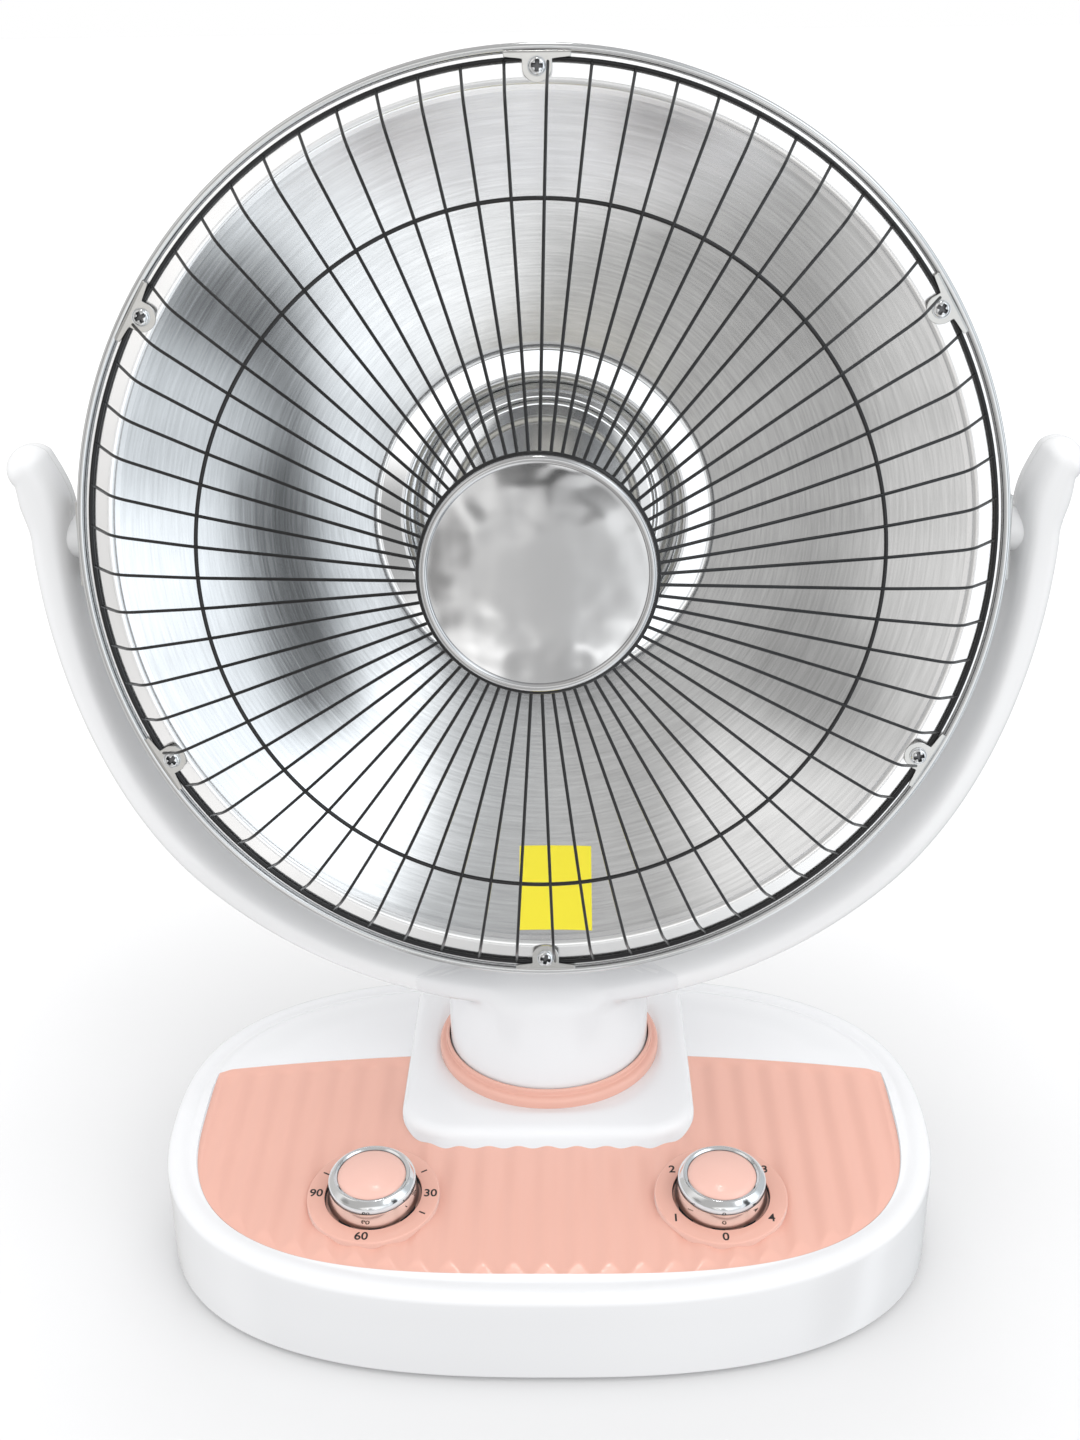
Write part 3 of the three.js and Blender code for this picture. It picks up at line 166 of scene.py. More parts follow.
# Arms and bolts
ARM_RADIUS = 220
ARM_THICK = 20
ARM_DEPTH_LOW = 84
ARM_DEPTH_HIGH = 28
ARM_SQUARENESS = 0.72
ARM_PARTING = 0.3
HORN_RISE = 31
HORN_FLARE = 6
HORN_RADIUS = 10.6
BOSS_RADIUS = 10
BOSS_FACE = 203.7
BOSS_BORE = 4.5
BOLT_HEAD = 7.5
BOLT_RISE = 4
SINK_FLOOR = ARM_RADIUS + ARM_THICK / 2 - 6
SHANK_RADIUS = 4
SHANK_END = 192.6

# Base
BASE_HALF_WIDTH = 183.5
BASE_FRONT = 167.5
BASE_BACK = 72.5
BASE_MIDDLE = (BASE_BACK - BASE_FRONT) / 2
BASE_SIDES = 288
BASE_ROUNDNESS = 2.6
BASE_WALL_TOP = 43
BASE_RIM_RISE = 4
BASE_BORDER = 15.5
BASE_WALL = 4
TOP_SLOPE = 0.08
TOP_FRONT_HEIGHT = 48.2
TOP_FRONT_INSET = 15
CROWN_HEIGHT = 60
RIM_SLOPE = 0.075
RIM_BACK_HEIGHT = 56
BACK_FALL = 24
GLAND_HEIGHT = 17

# Panel
PANEL_HALF_WIDTH = 168
PANEL_FRONT = 152.5
PANEL_ROUNDNESS = 3
PANEL_BACK_EDGE = 8
PANEL_ARC = 1080
PANEL_POCKET = 2.4
PANEL_GAP = 0.4
RIB_PITCH = 14
RIB_RISE = 1.5

# Apron, collar and neck
APRON_HALF_WIDTH = 71
APRON_FRONT = 75
APRON_BACK = 46
APRON_CORNER = 24
APRON_TOP = 63
APRON_FOOT = 43
APRON_FLAT = 12
APRON_HOLE = 52
APRON_DISH = 1.5
COLLAR_RADIUS = 56
COLLAR_FOOT = 61
COLLAR_TOP = 69.6
NECK_RADIUS = 50.3
COLUMN_SIDES = 288
COLUMN_REACH = 82
SHOULDER_START = 108
SHOULDER_TOP = 128
SHOULDER_FALL = 9
BLEND = 4.5

# Knobs and dials
KNOB_SIDES = 128
KNOB_X = 79.5
KNOB_Y = 107.6
KNOB_FOOT = 50.32
KNOB_SLOPE = 0.085
KNOB_LIFT = 1.5
KNOB_SKIRT = 21
KNOB_RING = 19.8
KNOB_CAP = 15.6
KNOB_SHOULDER = 8.3
KNOB_RING_TOP = 14.2
KNOB_CROWN = 17
KNOB_DOME = 2.9
DIAL_INNER = 22.2
DIAL_OUTER = 30.2
DIAL_TOP = 2.1
DIAL_FOOT = -1.4
NUMBER_SIZE = 6.2
NUMBER_THICK = 0.03
NUMBER_WEIGHT = 0.12
TICK_LENGTH = 3
TICK_WIDTH = 0.7

# Camera, solved from the photograph: its place, its angles in degrees and its focal length in pixels
CAMERA_PLACE = (12.0, -664.4, 546.9)
CAMERA_DOWN = 23.67
CAMERA_LEFT = 1.19
CAMERA_ROLL = 0.78
SENSOR = 36
FOCAL_PIXELS = 1606
PHOTO_HEIGHT = 1440

# Floor, its size in metres
FLOOR_SIZE = 60
# The floor's near shade is a painted shadow round the heater, and its far shade brightens it where the lamps reach
# less, as painted light
FLOOR_NEAR_PAINTED_SHADOW = (0.7, 0.7, 0.705)
FLOOR_FAR = (0.96, 0.96, 0.965)

# Light on everything but mirrors: (aim, full within, gone beyond, level), angles in degrees
EVEN_LIGHTS = [
    ((0.72, -0.45, 0.52), 12, 52, 1.25),
    ((0, 0, 1), 0, 75, 0.45),
    ((-0.95, -0.35, 0.25), 10, 65, 1.0),
]
GROUND_LEVELS = (0.47, 0.6)

# What mirrors show: walls as (turn from the front, level), then patches over them as
# (turn, rise, full within, gone beyond, level), with all angles in degrees
ROOM_WALLS = [
    (-180, 0.6), (-100, 0.65), (-80, 0.9), (-71, 0.75), (-64, 0.47), (-52, 0.52), (-20, 0.54), (20, 0.62),
    (38, 0.9), (44, 1.1), (50, 0.95), (54, 0.17), (58, 0.1), (62, 0.14), (66.5, 1.3), (82, 1.6), (100, 0.7),
    (178, 0.6),
]
ROOM_PATCHES = [
    (0, 80, 6, 30, 0.6), (0, -80, 6, 28, 1.0), (35, -50, 6, 28, 1.3), (65, -38, 3, 13, 0.16),
    (42, 38, 2, 10, 1.8), (66, 50, 5, 20, 1.9), (71, -22, 2, 16, 0.85), (-72, 48, 4, 20, 1.0),
    (-64, 22, 2, 14, 0.36), (7, 2, 15, 36, 1.3), (-11.5, 0, 2.5, 6.5, 0.4), (0, -1, 2, 8, 0.75),
    (0, -9, 1, 6, 0.65), (0, -18, 6, 12, 0.6), (0, 7.5, 1.5, 4, 0.08), (3.5, 6.5, 0.5, 2.5, 0.2),
    (-3.5, 7, 0.5, 2.5, 0.15), (-5.5, -6.5, 0.5, 2.5, 1.9), (4.5, -7, 0.5, 2.3, 1.9), (180, 76, 1, 4, 20),
]
ROOM_LEFT_TINT = (1, 0.99, 0.975)
ROOM_RIGHT_TINT = (0.90, 0.955, 1)


# Small helpers for numbers

def clamped(value):
    return min(max(value, 0), 1)


def smooth(value, low, high):
    """0 below low, 1 above high and an easy climb between them."""
    share = clamped((value - low) / (high - low))
    return share * share * (3 - 2 * share)


def signed_power(value, power):
    return copysign(abs(value) ** power, value)


def turns(count, start=0.0):
    """Angles of count even steps round a circle."""
    return [start + 2 * pi * i / count for i in range(count)]


def circle(radius, height, sides):
    """Points round the upright axis."""
    return [(radius * cos(a), radius * sin(a), height) for a in turns(sides)]


def round_line(radius, level, wire, sides):
    """The round section of a ring, as a line of (radius, height)."""
    return [(radius + wire * cos(a), level + wire * sin(a)) for a in turns(sides)]


def beside(line, i):
    """The points before and after one of a line's points, or that point itself at an end."""
    return line[max(i - 1, 0)], line[min(i + 1, len(line) - 1)]


def softened(corners, steps=5):
    """A line through corners of (across, along, trim), each rounded off from its trim's length away."""
    line = []
    for i, (across, along, trim) in enumerate(corners):
        here = Vector((across, along))
        if trim == 0 or i in (0, len(corners) - 1):
            line.append(here)
            continue
        before = here + (Vector(corners[i - 1][:2]) - here).normalized() * trim
        after = here + (Vector(corners[i + 1][:2]) - here).normalized() * trim
        for k in range(steps + 1):
            t = k / steps
            line.append(before * (1 - t) ** 2 + here * 2 * t * (1 - t) + after * t * t)
    return [(point.x, point.y) for point in line]


def held(line, margin=0.25):
    """The same line with points near the ends of its long stretches, so that flats are shaded flat."""
    made = [line[0]]
    for (r0, z0), (r1, z1) in zip(line, line[1:]):
        reach = hypot(r1 - r0, z1 - z0)
        if reach > 4 * margin:
            for share in (margin / reach, 1 - margin / reach):
                made.append((r0 + (r1 - r0) * share, z0 + (z1 - z0) * share))
        made.append((r1, z1))
    return made


def backed(line, thickness):
    """A closed line round a sheet, from its front line and its thickness."""
    back = []
    for i, (across, along) in enumerate(line):
        (x0, y0), (x1, y1) = beside(line, i)
        reach = hypot(x1 - x0, y1 - y0) or 1
        back.append((across + (y1 - y0) / reach * thickness, along - (x1 - x0) / reach * thickness))
    return list(line) + back[::-1]


# Pieces and their meshes

class Skin:
    """Points and faces of one piece, gathered ring by ring, with the number of each face's material."""

    def __init__(self):
        self.points = []
        self.faces = []
        self.marks = []

    def loft(self, rings, looped=False, mark=0):
        """Joins rings of as many points each, and closes the ends unless the rings form a loop."""
        count = len(rings[0])
        first = len(self.points)
        before = len(self.faces)
        for ring in rings:
            self.points.extend(tuple(point) for point in ring)
        for k in range(len(rings) if looped else len(rings) - 1):
            a = first + k * count
            b = first + (k + 1) % len(rings) * count
            for i in range(count):
                j = (i + 1) % count
                self.faces.append((a + i, a + j, b + j, b + i))
        if not looped:
            end = first + (len(rings) - 1) * count
            self.faces.append(tuple(range(first, first + count))[::-1])
            self.faces.append(tuple(range(end, end + count)))
        self.marks.extend([mark] * (len(self.faces) - before))
        return self

    def lathe(self, profile, sides, looped=False, mark=0):
        """Turns a line of (radius, height) about the upright axis."""
        return self.loft([circle(r, z, sides) for r, z in profile], looped, mark)

    def tube(self, path, radius, sides, asides):
        """A round tube along a path; asides holds a direction square to the path at each point."""
        rings = []
        for i, (point, aside) in enumerate(zip(path, asides)):
            before, after = beside(path, i)
            other = (after - before).normalized().cross(aside).normalized()
            rings.append([point + radius * (aside * cos(a) + other * sin(a)) for a in turns(sides)])
        return self.loft(rings)

    def moved(self, matrix):
        self.points = [tuple(matrix @ Vector(point)) for point in self.points]
        return self

    def add(self, other):
        first = len(self.points)
        self.points.extend(other.points)
        self.faces.extend(tuple(first + i for i in face) for face in other.faces)
        self.marks.extend(other.marks)
        return self

    def mesh(self, name):
        """The skin as a mesh in metres."""
        made = bpy.data.meshes.new(name)
        made.from_pydata([[v * MM for v in point] for point in self.points], [], self.faces)
        return made


def added(name, data):
    """A new thing in the scene."""
    thing = bpy.data.objects.new(name, data)
    bpy.context.scene.collection.objects.link(thing)
    return thing


def piece(name, skin, place, body, materials, replaces=(), sharp=SHARP, own_frame=False):
    """One named piece of the heater, smooth but for edges sharper than the given degrees.

    A piece with its own frame keeps its place outside its mesh, for materials that turn about its axis.
    """
    mesh = skin.mesh(name)
    for material in materials:
        mesh.materials.append(material)
    mesh.polygons.foreach_set("material_index", skin.marks)
    mesh.validate()
    recalculate(mesh)
    mesh.shade_smooth()
    mesh.set_sharp_from_angle(angle=radians(sharp))
    thing = added(name, mesh)
    if own_frame:
        thing.matrix_world = place
    else:
        mesh.transform(place)
    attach(thing, body)
    if replaces:
        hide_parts(*replaces)
    return thing


def recalculate(mesh):
    """Turns every face outward."""
    made = bmesh.new()
    made.from_mesh(mesh)
    bmesh.ops.recalc_face_normals(made, faces=made.faces)
    made.to_mesh(mesh)
    made.free()


def final_mesh(thing):
    """A thing's mesh with its modifiers or letters made solid."""
    bpy.context.view_layer.update()
    return bpy.data.meshes.new_from_object(thing.evaluated_get(bpy.context.evaluated_depsgraph_get()))


def cut(thing, cutters, place):
    """Takes the cutters' skins, drawn in the given frame, out of a piece."""
    for skin in cutters:
        mesh = skin.mesh("cutter")
        recalculate(mesh)
        cutter = added("cutter", mesh)
        cutter.matrix_world = place
        modifier = thing.modifiers.new("cut", "BOOLEAN")
        modifier.operation = "DIFFERENCE"
        modifier.solver = "EXACT"
        modifier.object = cutter
        made = final_mesh(thing)
        thing.modifiers.clear()
        thing.data = made
        bpy.data.objects.remove(cutter)
    thing.data.shade_smooth()
    thing.data.set_sharp_from_angle(angle=radians(SHARP))


# Frames of the pieces

def placed(x_axis, y_axis, z_axis, origin):
    """The frame with these axes and its origin in millimetres."""
    matrix = Matrix((x_axis, y_axis, z_axis)).transposed().to_4x4()
    matrix.translation = Vector(origin) * MM
    return matrix


NECK = Matrix.Translation((0, NECK_Y * MM, 0))
DISH_OUT = Vector((0, -cos(TILT), sin(TILT)))
DISH_UP = Vector((0, sin(TILT), cos(TILT)))
DISH_ORIGIN = Vector((0, NECK_Y, PIVOT_Z)) + DISH_OUT * PIVOT_DEPTH
DISH = placed((1, 0, 0), DISH_UP, DISH_OUT, DISH_ORIGIN)


def pivot_frame(side, out=0):
    """A frame on the dish's pivot line with its upright axis pointing out to one side."""
    return Matrix.Translation((side * out, 0, PIVOT_Z)) @ Matrix.Rotation(side * pi / 2, 4, "Y")


def top_height(y):
    """Height of the base's sloping top at a distance behind the neck's axis."""
    return min(TOP_FRONT_HEIGHT + TOP_SLOPE * (y + BASE_FRONT - TOP_FRONT_INSET), CROWN_HEIGHT)


def knob_frame(side):
    lean = atan(KNOB_SLOPE)
    up = Vector((0, -sin(lean), cos(lean)))
    back = Vector((0, cos(lean), sin(lean)))
    foot = Vector((side * KNOB_X, NECK_Y - KNOB_Y, KNOB_FOOT))
    return placed((1, 0, 0), back, up, foot + up * KNOB_LIFT)


# Materials

def shifted(colour, change):
    return tuple(clamped(part * (1 + change)) for part in colour)


class Nodes:
    """Short ways to add shader nodes to a tree."""

    def __init__(self, tree):
        self.tree = tree

    def node(self, kind, inputs=None, **settings):
        made = self.tree.nodes.new("ShaderNode" + kind)
        for key, value in settings.items():
            setattr(made, key, value)
        for key, value in (inputs or {}).items():
            self.feed(made.inputs[key], value)
        return made

    def feed(self, socket, value):
        if isinstance(value, bpy.types.NodeSocket):
            self.tree.links.new(value, socket)
        else:
            socket.default_value = value

    def calc(self, operation, a, b=0.0, c=0.0):
        return self.node("Math", {0: a, 1: b, 2: c}, operation=operation).outputs[0]

    def ranged(self, value, low, high, start=0.0, end=1.0):
        inputs = {"Value": value, "From Min": start, "From Max": end, "To Min": low, "To Max": high}
        return self.node("MapRange", inputs).outputs["Result"]

    def blend(self, share, first, second):
        colours = {0: share, 6: (*first, 1), 7: (*second, 1)}
        return self.node("Mix", colours, data_type="RGBA").outputs[2]


class Finish(Nodes):
    """One material, whose textures read only the piece's own coordinates."""

    def __init__(self, name, colour, **values):
        self.material = bpy.data.materials.new(name)
        self.material.use_nodes = True
        super().__init__(self.material.node_tree)
        self.colour = colour
        self.shader = self.tree.nodes["Principled BSDF"]
        self.shader.inputs["Base Color"].default_value = (*colour, 1)
        for key, value in values.items():
            self.shader.inputs[key.replace("_", " ")].default_value = value
        self.place = self.node("TexCoord").outputs["Object"]

    def set(self, key, value):
        self.feed(self.shader.inputs[key], value)

    def noise(self, scale, detail, place=None):
        inputs = {"Vector": place or self.place, "Scale": scale, "Detail": detail}
        return self.node("TexNoise", inputs).outputs["Fac"]

    def drift(self, share, darker, lighter):
        """Lets the colour wander between two shades of itself."""
        self.set("Base Color", self.blend(share, shifted(self.colour, -darker), shifted(self.colour, lighter)))

    def gloss(self, share, low, high, start=0.0, end=1.0):
        """Lets the roughness wander between two values."""
        self.set("Roughness", self.ranged(share, low, high, start, end))

    def bump(self, height, distance, strength, below=None):
        inputs = {"Height": height, "Distance": distance, "Strength": strength}
        if below is not None:
            inputs["Normal"] = below
        normal = self.node("Bump", inputs).outputs["Normal"]
        self.set("Normal", normal)
        return normal

    def ring_place(self, fine, long):
        """Coordinates that run fine across the rings round the piece's axis and long along them."""
        parts = self.node("SeparateXYZ", {0: self.place}).outputs
        square = self.calc("ADD", self.calc("MULTIPLY", parts[0], parts[0]),
                           self.calc("MULTIPLY", parts[1], parts[1]))
        radius = self.calc("MAXIMUM", self.calc("SQRT", square), 1e-5)
        across = self.calc("MULTIPLY", radius, fine)
        x = self.calc("MULTIPLY", self.calc("DIVIDE", parts[0], radius), long)
        y = self.calc("MULTIPLY", self.calc("DIVIDE", parts[1], radius), long)
        return self.node("CombineXYZ", {0: across, 1: x, 2: y}).outputs[0]


def plastic(name, colour, roughness, spread=0.02):
    """Glossy moulded plastic: faint colour drift, uneven gloss and a soft orange peel."""
    finish = Finish(name, colour, Roughness=roughness, IOR=1.47)
    finish.drift(finish.noise(7, 1), spread, spread)
    finish.gloss(finish.noise(25, 1), roughness * 0.95, roughness * 1.07)
    peel = finish.bump(finish.noise(450, 1), PEEL, 0.35)
    finish.bump(finish.noise(9, 1), PEEL * 6, 0.2, peel)
    return finish.material


def metal(name, colour, roughness, spread, grain, scale):
    """Plain metal with small scuffs and clouds in its gloss."""
    finish = Finish(name, colour, Metallic=1.0, Roughness=roughness)
    finish.drift(finish.noise(scale / 4, 4), spread, spread)
    finish.gloss(finish.noise(scale, 5), roughness * 0.7, roughness * 1.4)
    finish.bump(finish.noise(scale * 2, 3), grain, 0.5)
    return finish.material


def spun_metal(name, colour, roughness, anisotropy, fine, groove):
    """Metal turned on a lathe: fine rings that stretch each reflection across them, and broad light and dark fans
    round the axis painted into the colour as a painted sheen.
    """
    finish = Finish(name, colour, Metallic=1.0, Roughness=roughness, Anisotropic=anisotropy)
    rings = finish.noise(1, 3, finish.ring_place(fine, 2.5))
    broad = finish.noise(1, 2, finish.ring_place(fine / 14, 1.2))
    # Painted sheen: broad light and dark fans round the axis, standing in for the light that turned metal throws back
    # at different turns
    painted_sheen_wedges = finish.noise(1, 2, finish.ring_place(6, 5))
    hairs = finish.noise(1, 3, finish.ring_place(fine * 0.8, 6))
    share = finish.calc("MULTIPLY_ADD", rings, 0.6, finish.calc("MULTIPLY", broad, 0.4))
    grain_and_painted_sheen = finish.calc("MULTIPLY_ADD", share, 0.25, finish.calc("MULTIPLY", painted_sheen_wedges, 0.3))
    grain_and_painted_sheen = finish.calc("MULTIPLY_ADD", hairs, 0.45, grain_and_painted_sheen)
    # The colour drifts with the real grain of the rings and hairs and with the painted sheen of the fans
    finish.drift(finish.ranged(grain_and_painted_sheen, 0, 1, 0.36, 0.64), 0.16, 0.1)
    finish.gloss(share, roughness * 0.75, roughness * 1.3, 0.3, 0.7)
    finish.bump(rings, groove, 0.5)
    finish.set("Tangent", finish.node("Tangent", direction_type="RADIAL", axis="Z").outputs["Tangent"])
    return finish.material


def rubber(name, colour):
    finish = Finish(name, colour, Roughness=0.7)
    finish.gloss(finish.noise(200, 5), 0.6, 0.85)
    finish.bump(finish.noise(900, 3), 0.00004, 0.6)
    return finish.material


def ceramic(name, colour):
    finish = Finish(name, colour, Roughness=0.55)
    specks = finish.noise(700, 5)
    finish.drift(specks, 0.12, 0.03)
    finish.gloss(finish.noise(150, 4), 0.45, 0.7)
    finish.bump(specks, 0.00003, 0.5)
    return finish.material


def film(name, colour):
    """A printed plastic film, slightly wavy where it was rubbed down."""
    finish = Finish(name, colour, Roughness=0.35, Coat_Weight=0.3)
    finish.drift(finish.noise(30, 2), 0.03, 0.02)
    finish.gloss(finish.noise(80, 3), 0.28, 0.45)
    finish.bump(finish.noise(120, 2), 0.00008, 0.4)
    return finish.material


WHITE = plastic("white plastic", (0.785, 0.79, 0.805), 0.15, 0.012)
# Painted light: the arms' white is lighter than the housing's, standing in for light that the dish keeps off their
# inner sides
ARM_WHITE_PAINTED_LIGHT = plastic("white arm plastic", (0.845, 0.85, 0.86), 0.15, 0.012)
SALMON = plastic("salmon plastic", (0.76, 0.43, 0.352), 0.17, 0.03)
# Painted highlight: the caps' salmon is lighter than the panel's, standing in for the sheen of light on their domes
CAP_PAINTED_HIGHLIGHT = plastic("salmon cap plastic", (0.79, 0.49, 0.42), 0.17, 0.02)
GREY = plastic("grey plastic", (0.32, 0.33, 0.35), 0.45)
BLACK = plastic("black plastic", (0.018, 0.018, 0.02), 0.4)
INK = plastic("dial ink", (0.02, 0.018, 0.018), 0.5)
BOWL = spun_metal("brushed aluminium", (0.80, 0.805, 0.81), 0.16, 0.45, 1300, 0.000003)
CUP = metal("polished cup", (0.93, 0.945, 0.96), 0.08, 0.01, 0.0000005, 30)
FLANGE = metal("polished flange", (0.93, 0.93, 0.935), 0.19, 0.01, 0.0000005, 40)
MIRROR = metal("mirror steel", (0.62, 0.62, 0.625), 0.1, 0.03, 0.000002, 90)
RIM = metal("rolled rim", (0.72, 0.725, 0.73), 0.12, 0.01, 0.0000005, 40)
WIRE = metal("dark wire", (0.05, 0.05, 0.051), 0.22, 0.15, 0.000002, 600)
ENAMEL = plastic("black enamel", (0.008, 0.008, 0.009), 0.12)
ZINC = metal("zinc plate", (0.62, 0.615, 0.60), 0.22, 0.05, 0.000002, 300)
SCREW = metal("bright screw", (0.80, 0.81, 0.82), 0.1, 0.1, 0.000004, 700)
# Painted shade: dark metal for the screws' cross recesses, where light is trapped
RECESS_PAINTED_SHADE = metal("shaded recess", (0.15, 0.15, 0.155), 0.4, 0.1, 0.000004, 700)
# Painted reflection: chrome with a salmon cast, standing in for the panel that the knobs' skirts mirror
CHROME_PAINTED_REFLECTION = metal("painted_reflection_tinted chrome", (0.86, 0.57, 0.48), 0.07, 0.02, 0.0000003, 60)
CHROME = metal("chrome", (0.82, 0.825, 0.83), 0.05, 0.01, 0.0000003, 60)
CERAMIC = ceramic("ceramic", (0.78, 0.75, 0.68))
COIL = metal("coil alloy", (0.44, 0.43, 0.42), 0.35, 0.2, 0.00001, 800)
RUBBER = rubber("black rubber", (0.02, 0.02, 0.021))
YELLOW = film("yellow film", (0.92, 0.80, 0.03))


# Dish

def bowl_depth(radius):
    curve = (THROAT_DEPTH - LIP_DEPTH) / (FLANGE_INNER ** 2 - THROAT_RADIUS ** 2)
    return LIP_DEPTH + curve * (FLANGE_INNER ** 2 - radius ** 2)


def reflector():
    """The spun bowl from its cup to the rolled rim."""
    floor = -CUP_DEPTH
    shelf = floor + CUP_RING_RISE
    throat = THROAT_RADIUS + 3
    shoulder = softened([
        (CORE_HOLE, floor, 0), (CUP_RING_INNER, floor, 1), (CUP_RING_INNER + CUP_RING_RISE, shelf, 1),
        (CUP_RING_OUTER - CUP_RING_RISE, shelf, 1), (CUP_RING_OUTER, floor, 1), (CUP_RADIUS, floor, 4),
        (SHOULDER_RADIUS, -SHOULDER_DEPTH, 3.5), (THROAT_RADIUS, -THROAT_DEPTH, 2), (throat, -bowl_depth(throat), 0)])
    curve = [(r, -bowl_depth(r)) for r in np.linspace(throat, FLANGE_INNER - 3, 40)]
    lip_radius = FLANGE_INNER + LIP_DEPTH - FLANGE_DEPTH
    lip = softened([(*curve[-1], 0), (FLANGE_INNER, -LIP_DEPTH, 1.5), (lip_radius, -FLANGE_DEPTH, 1.8),
                    (DISH_RADIUS - BEAD_RADIUS, -FLANGE_DEPTH, 0)])
    line = held(shoulder[:-1]) + curve[:-1] + held(lip)
    skin = Skin().lathe(backed(line, SHEET), DISH_SIDES, looped=True)
    bowl, flange, rim, cup = range(4)
    for k, (radius, level) in enumerate(line[:-1]):
        mark = cup if radius < THROAT_RADIUS - 1 else flange if radius > lip_radius - 3 else bowl
        skin.marks[k * DISH_SIDES:(k + 1) * DISH_SIDES] = [mark] * DISH_SIDES
    bead = round_line(DISH_RADIUS - BEAD_RADIUS, -BEAD_DROP, BEAD_RADIUS, 20)
    skin.lathe(bead, DISH_SIDES, looped=True, mark=rim)
    piece("reflector", skin, DISH, "head", [BOWL, FLANGE, RIM, CUP], ["reflector_bowl"], 50,
          own_frame=True)


def blank_label():
    """A plain yellow label on the lower wall of the bowl."""
    rings = []
    for radius in np.linspace(LABEL_INNER, LABEL_OUTER, 24):
        front = []
        for x in np.linspace(LABEL_LEFT, LABEL_RIGHT, 16):
            front.append((x, -radius, LABEL_THICK - bowl_depth(min(hypot(x, radius), FLANGE_INNER))))
        back = [(x, y, z - LABEL_THICK) for x, y, z in reversed(front)]
        rings.append(front + back)
    piece("blank_label", Skin().loft(rings), DISH, "head", [YELLOW])


def ring_skin(radius, level, wire):
    return Skin().lathe(round_line(radius, level, wire, 12), 4 * WIRE_COUNT, looped=True)


def guard():
    """Outer and inner rings with the wires welded between them."""
    skin = ring_skin(*INNER_RING)
    line = softened(WIRE_ROUTE, 6)
    for turn in turns(WIRE_COUNT):
        out = Vector((cos(turn), sin(turn), 0))
        aside = Vector((-sin(turn), cos(turn), 0))
        path = [out * r + Vector((0, 0, z)) for r, z in line]
        skin.tube(path, WIRE_RADIUS, 8, [aside] * len(path))
    wires = piece("guard", skin, DISH, "head", [WIRE], ["guard_grille"], 60)
    wires.visible_glossy = False
    piece("guard_outer_ring", ring_skin(*OUTER_RING), DISH, "head", [ENAMEL], ["guard_grille"], 60)
    piece("guard_middle_ring", ring_skin(*MID_RING), DISH, "head", [WIRE], ["guard_mid_ring"], 60)


def disc():
    """The polished disc: a thin sheet with a round rim and the soft dents of hand pressing."""
    flat = DISC_RADIUS - DISC_RIM
    face = DISC_BACK + DISC_SHEET
    front = [(r, face + DISC_CROWN * (1 - (r / flat) ** 2)) for r in np.linspace(0.01, flat, 46)]
    for k in range(1, 13):
        a = pi * k / 12
        front.append((flat + DISC_RIM / 2 * (1 - cos(a)), face + DISC_ROLL * sin(a)))
    front.append((DISC_RADIUS, DISC_BACK + 0.2))
    skin = Skin().lathe(front[::-1] + [(0.01, DISC_BACK + 0.1)], 160)
    skin.points = [dented(point, flat) for point in skin.points]
    piece("centre_disc_sheet", skin, DISH, "head", [MIRROR], ["centre_disc"], 60)


def dented(point, flat):
    """Moves a point of the disc by broad and small waves that fade at its middle and rim."""
    x, y, z = point
    reach = hypot(x, y)
    inside = smooth(reach, 0, flat * 0.75) * (1 - smooth(reach, flat * 0.97, flat * 1.05))
    broad = noise.noise(Vector((x * 0.055, y * 0.055, 3.1)))
    small = noise.noise(Vector((x * 0.12, y * 0.12, 8.7)))
    return (x, y, z + DENT_DEPTH * inside * (broad + 0.35 * small))


# Clips and screws

def clip_skin():
    """A sheet clip in a T shape: a round tab under the screw and a bar inside the rolled rim."""
    line = softened([(CLIP_INNER, CLIP_TOP, 0), (CLIP_OUTER, CLIP_TOP, 1.2), (CLIP_OUTER, CLIP_TOP - CLIP_LIP, 0)])
    fine = [(r, CLIP_TOP) for r in np.linspace(CLIP_INNER + 0.02, line[1][0] - 0.1, 60)] + line[1:]
    rings = []
    for i, (r, z) in enumerate(fine):
        (x0, z0), (x1, z1) = beside(fine, i)
        reach = hypot(x1 - x0, z1 - z0)
        down = ((z1 - z0) / reach, (x0 - x1) / reach)
        half = clip_half_width(r, z)
        edge = min(0.2, half / 3)
        outline = [(-half + edge, 0), (half - edge, 0), (half, edge), (half, CLIP_SHEET - edge),
                   (half - edge, CLIP_SHEET), (-half + edge, CLIP_SHEET), (-half, CLIP_SHEET - edge), (-half, edge)]
        rings.append([(r + down[0] * deep, aside, z + down[1] * deep) for aside, deep in outline])
    low, high = -FLANGE_DEPTH + 0.1, CLIP_TOP - CLIP_SHEET
    foot = Skin().lathe(softened([(CLIP_BORE, low, 0), (CLIP_FOOT, low, 0.4), (CLIP_FOOT, high, 0),
                                  (CLIP_BORE, high, 0)]), 24)
    return Skin().loft(rings).add(foot.moved(Matrix.Translation((CLIP_SCREW_PLACE, 0, 0))))


def clip_half_width(r, z):
    """Half the clip's width: a round tab that widens into the bar."""
    middle = CLIP_INNER + CLIP_TAB
    if r < middle:
        return max(sqrt(max(CLIP_TAB ** 2 - (middle - r) ** 2, 0)), 0.3)
    bar_start = CLIP_OUTER - CLIP_BAR_DEPTH
    half = CLIP_TAB + (CLIP_BAR - CLIP_TAB) * smooth(r, bar_start - 0.7, bar_start + 0.3)
    end = CLIP_TOP - CLIP_LIP
    return half - 1.2 * (1 - smooth(z, end, end + 0.8)) ** 2


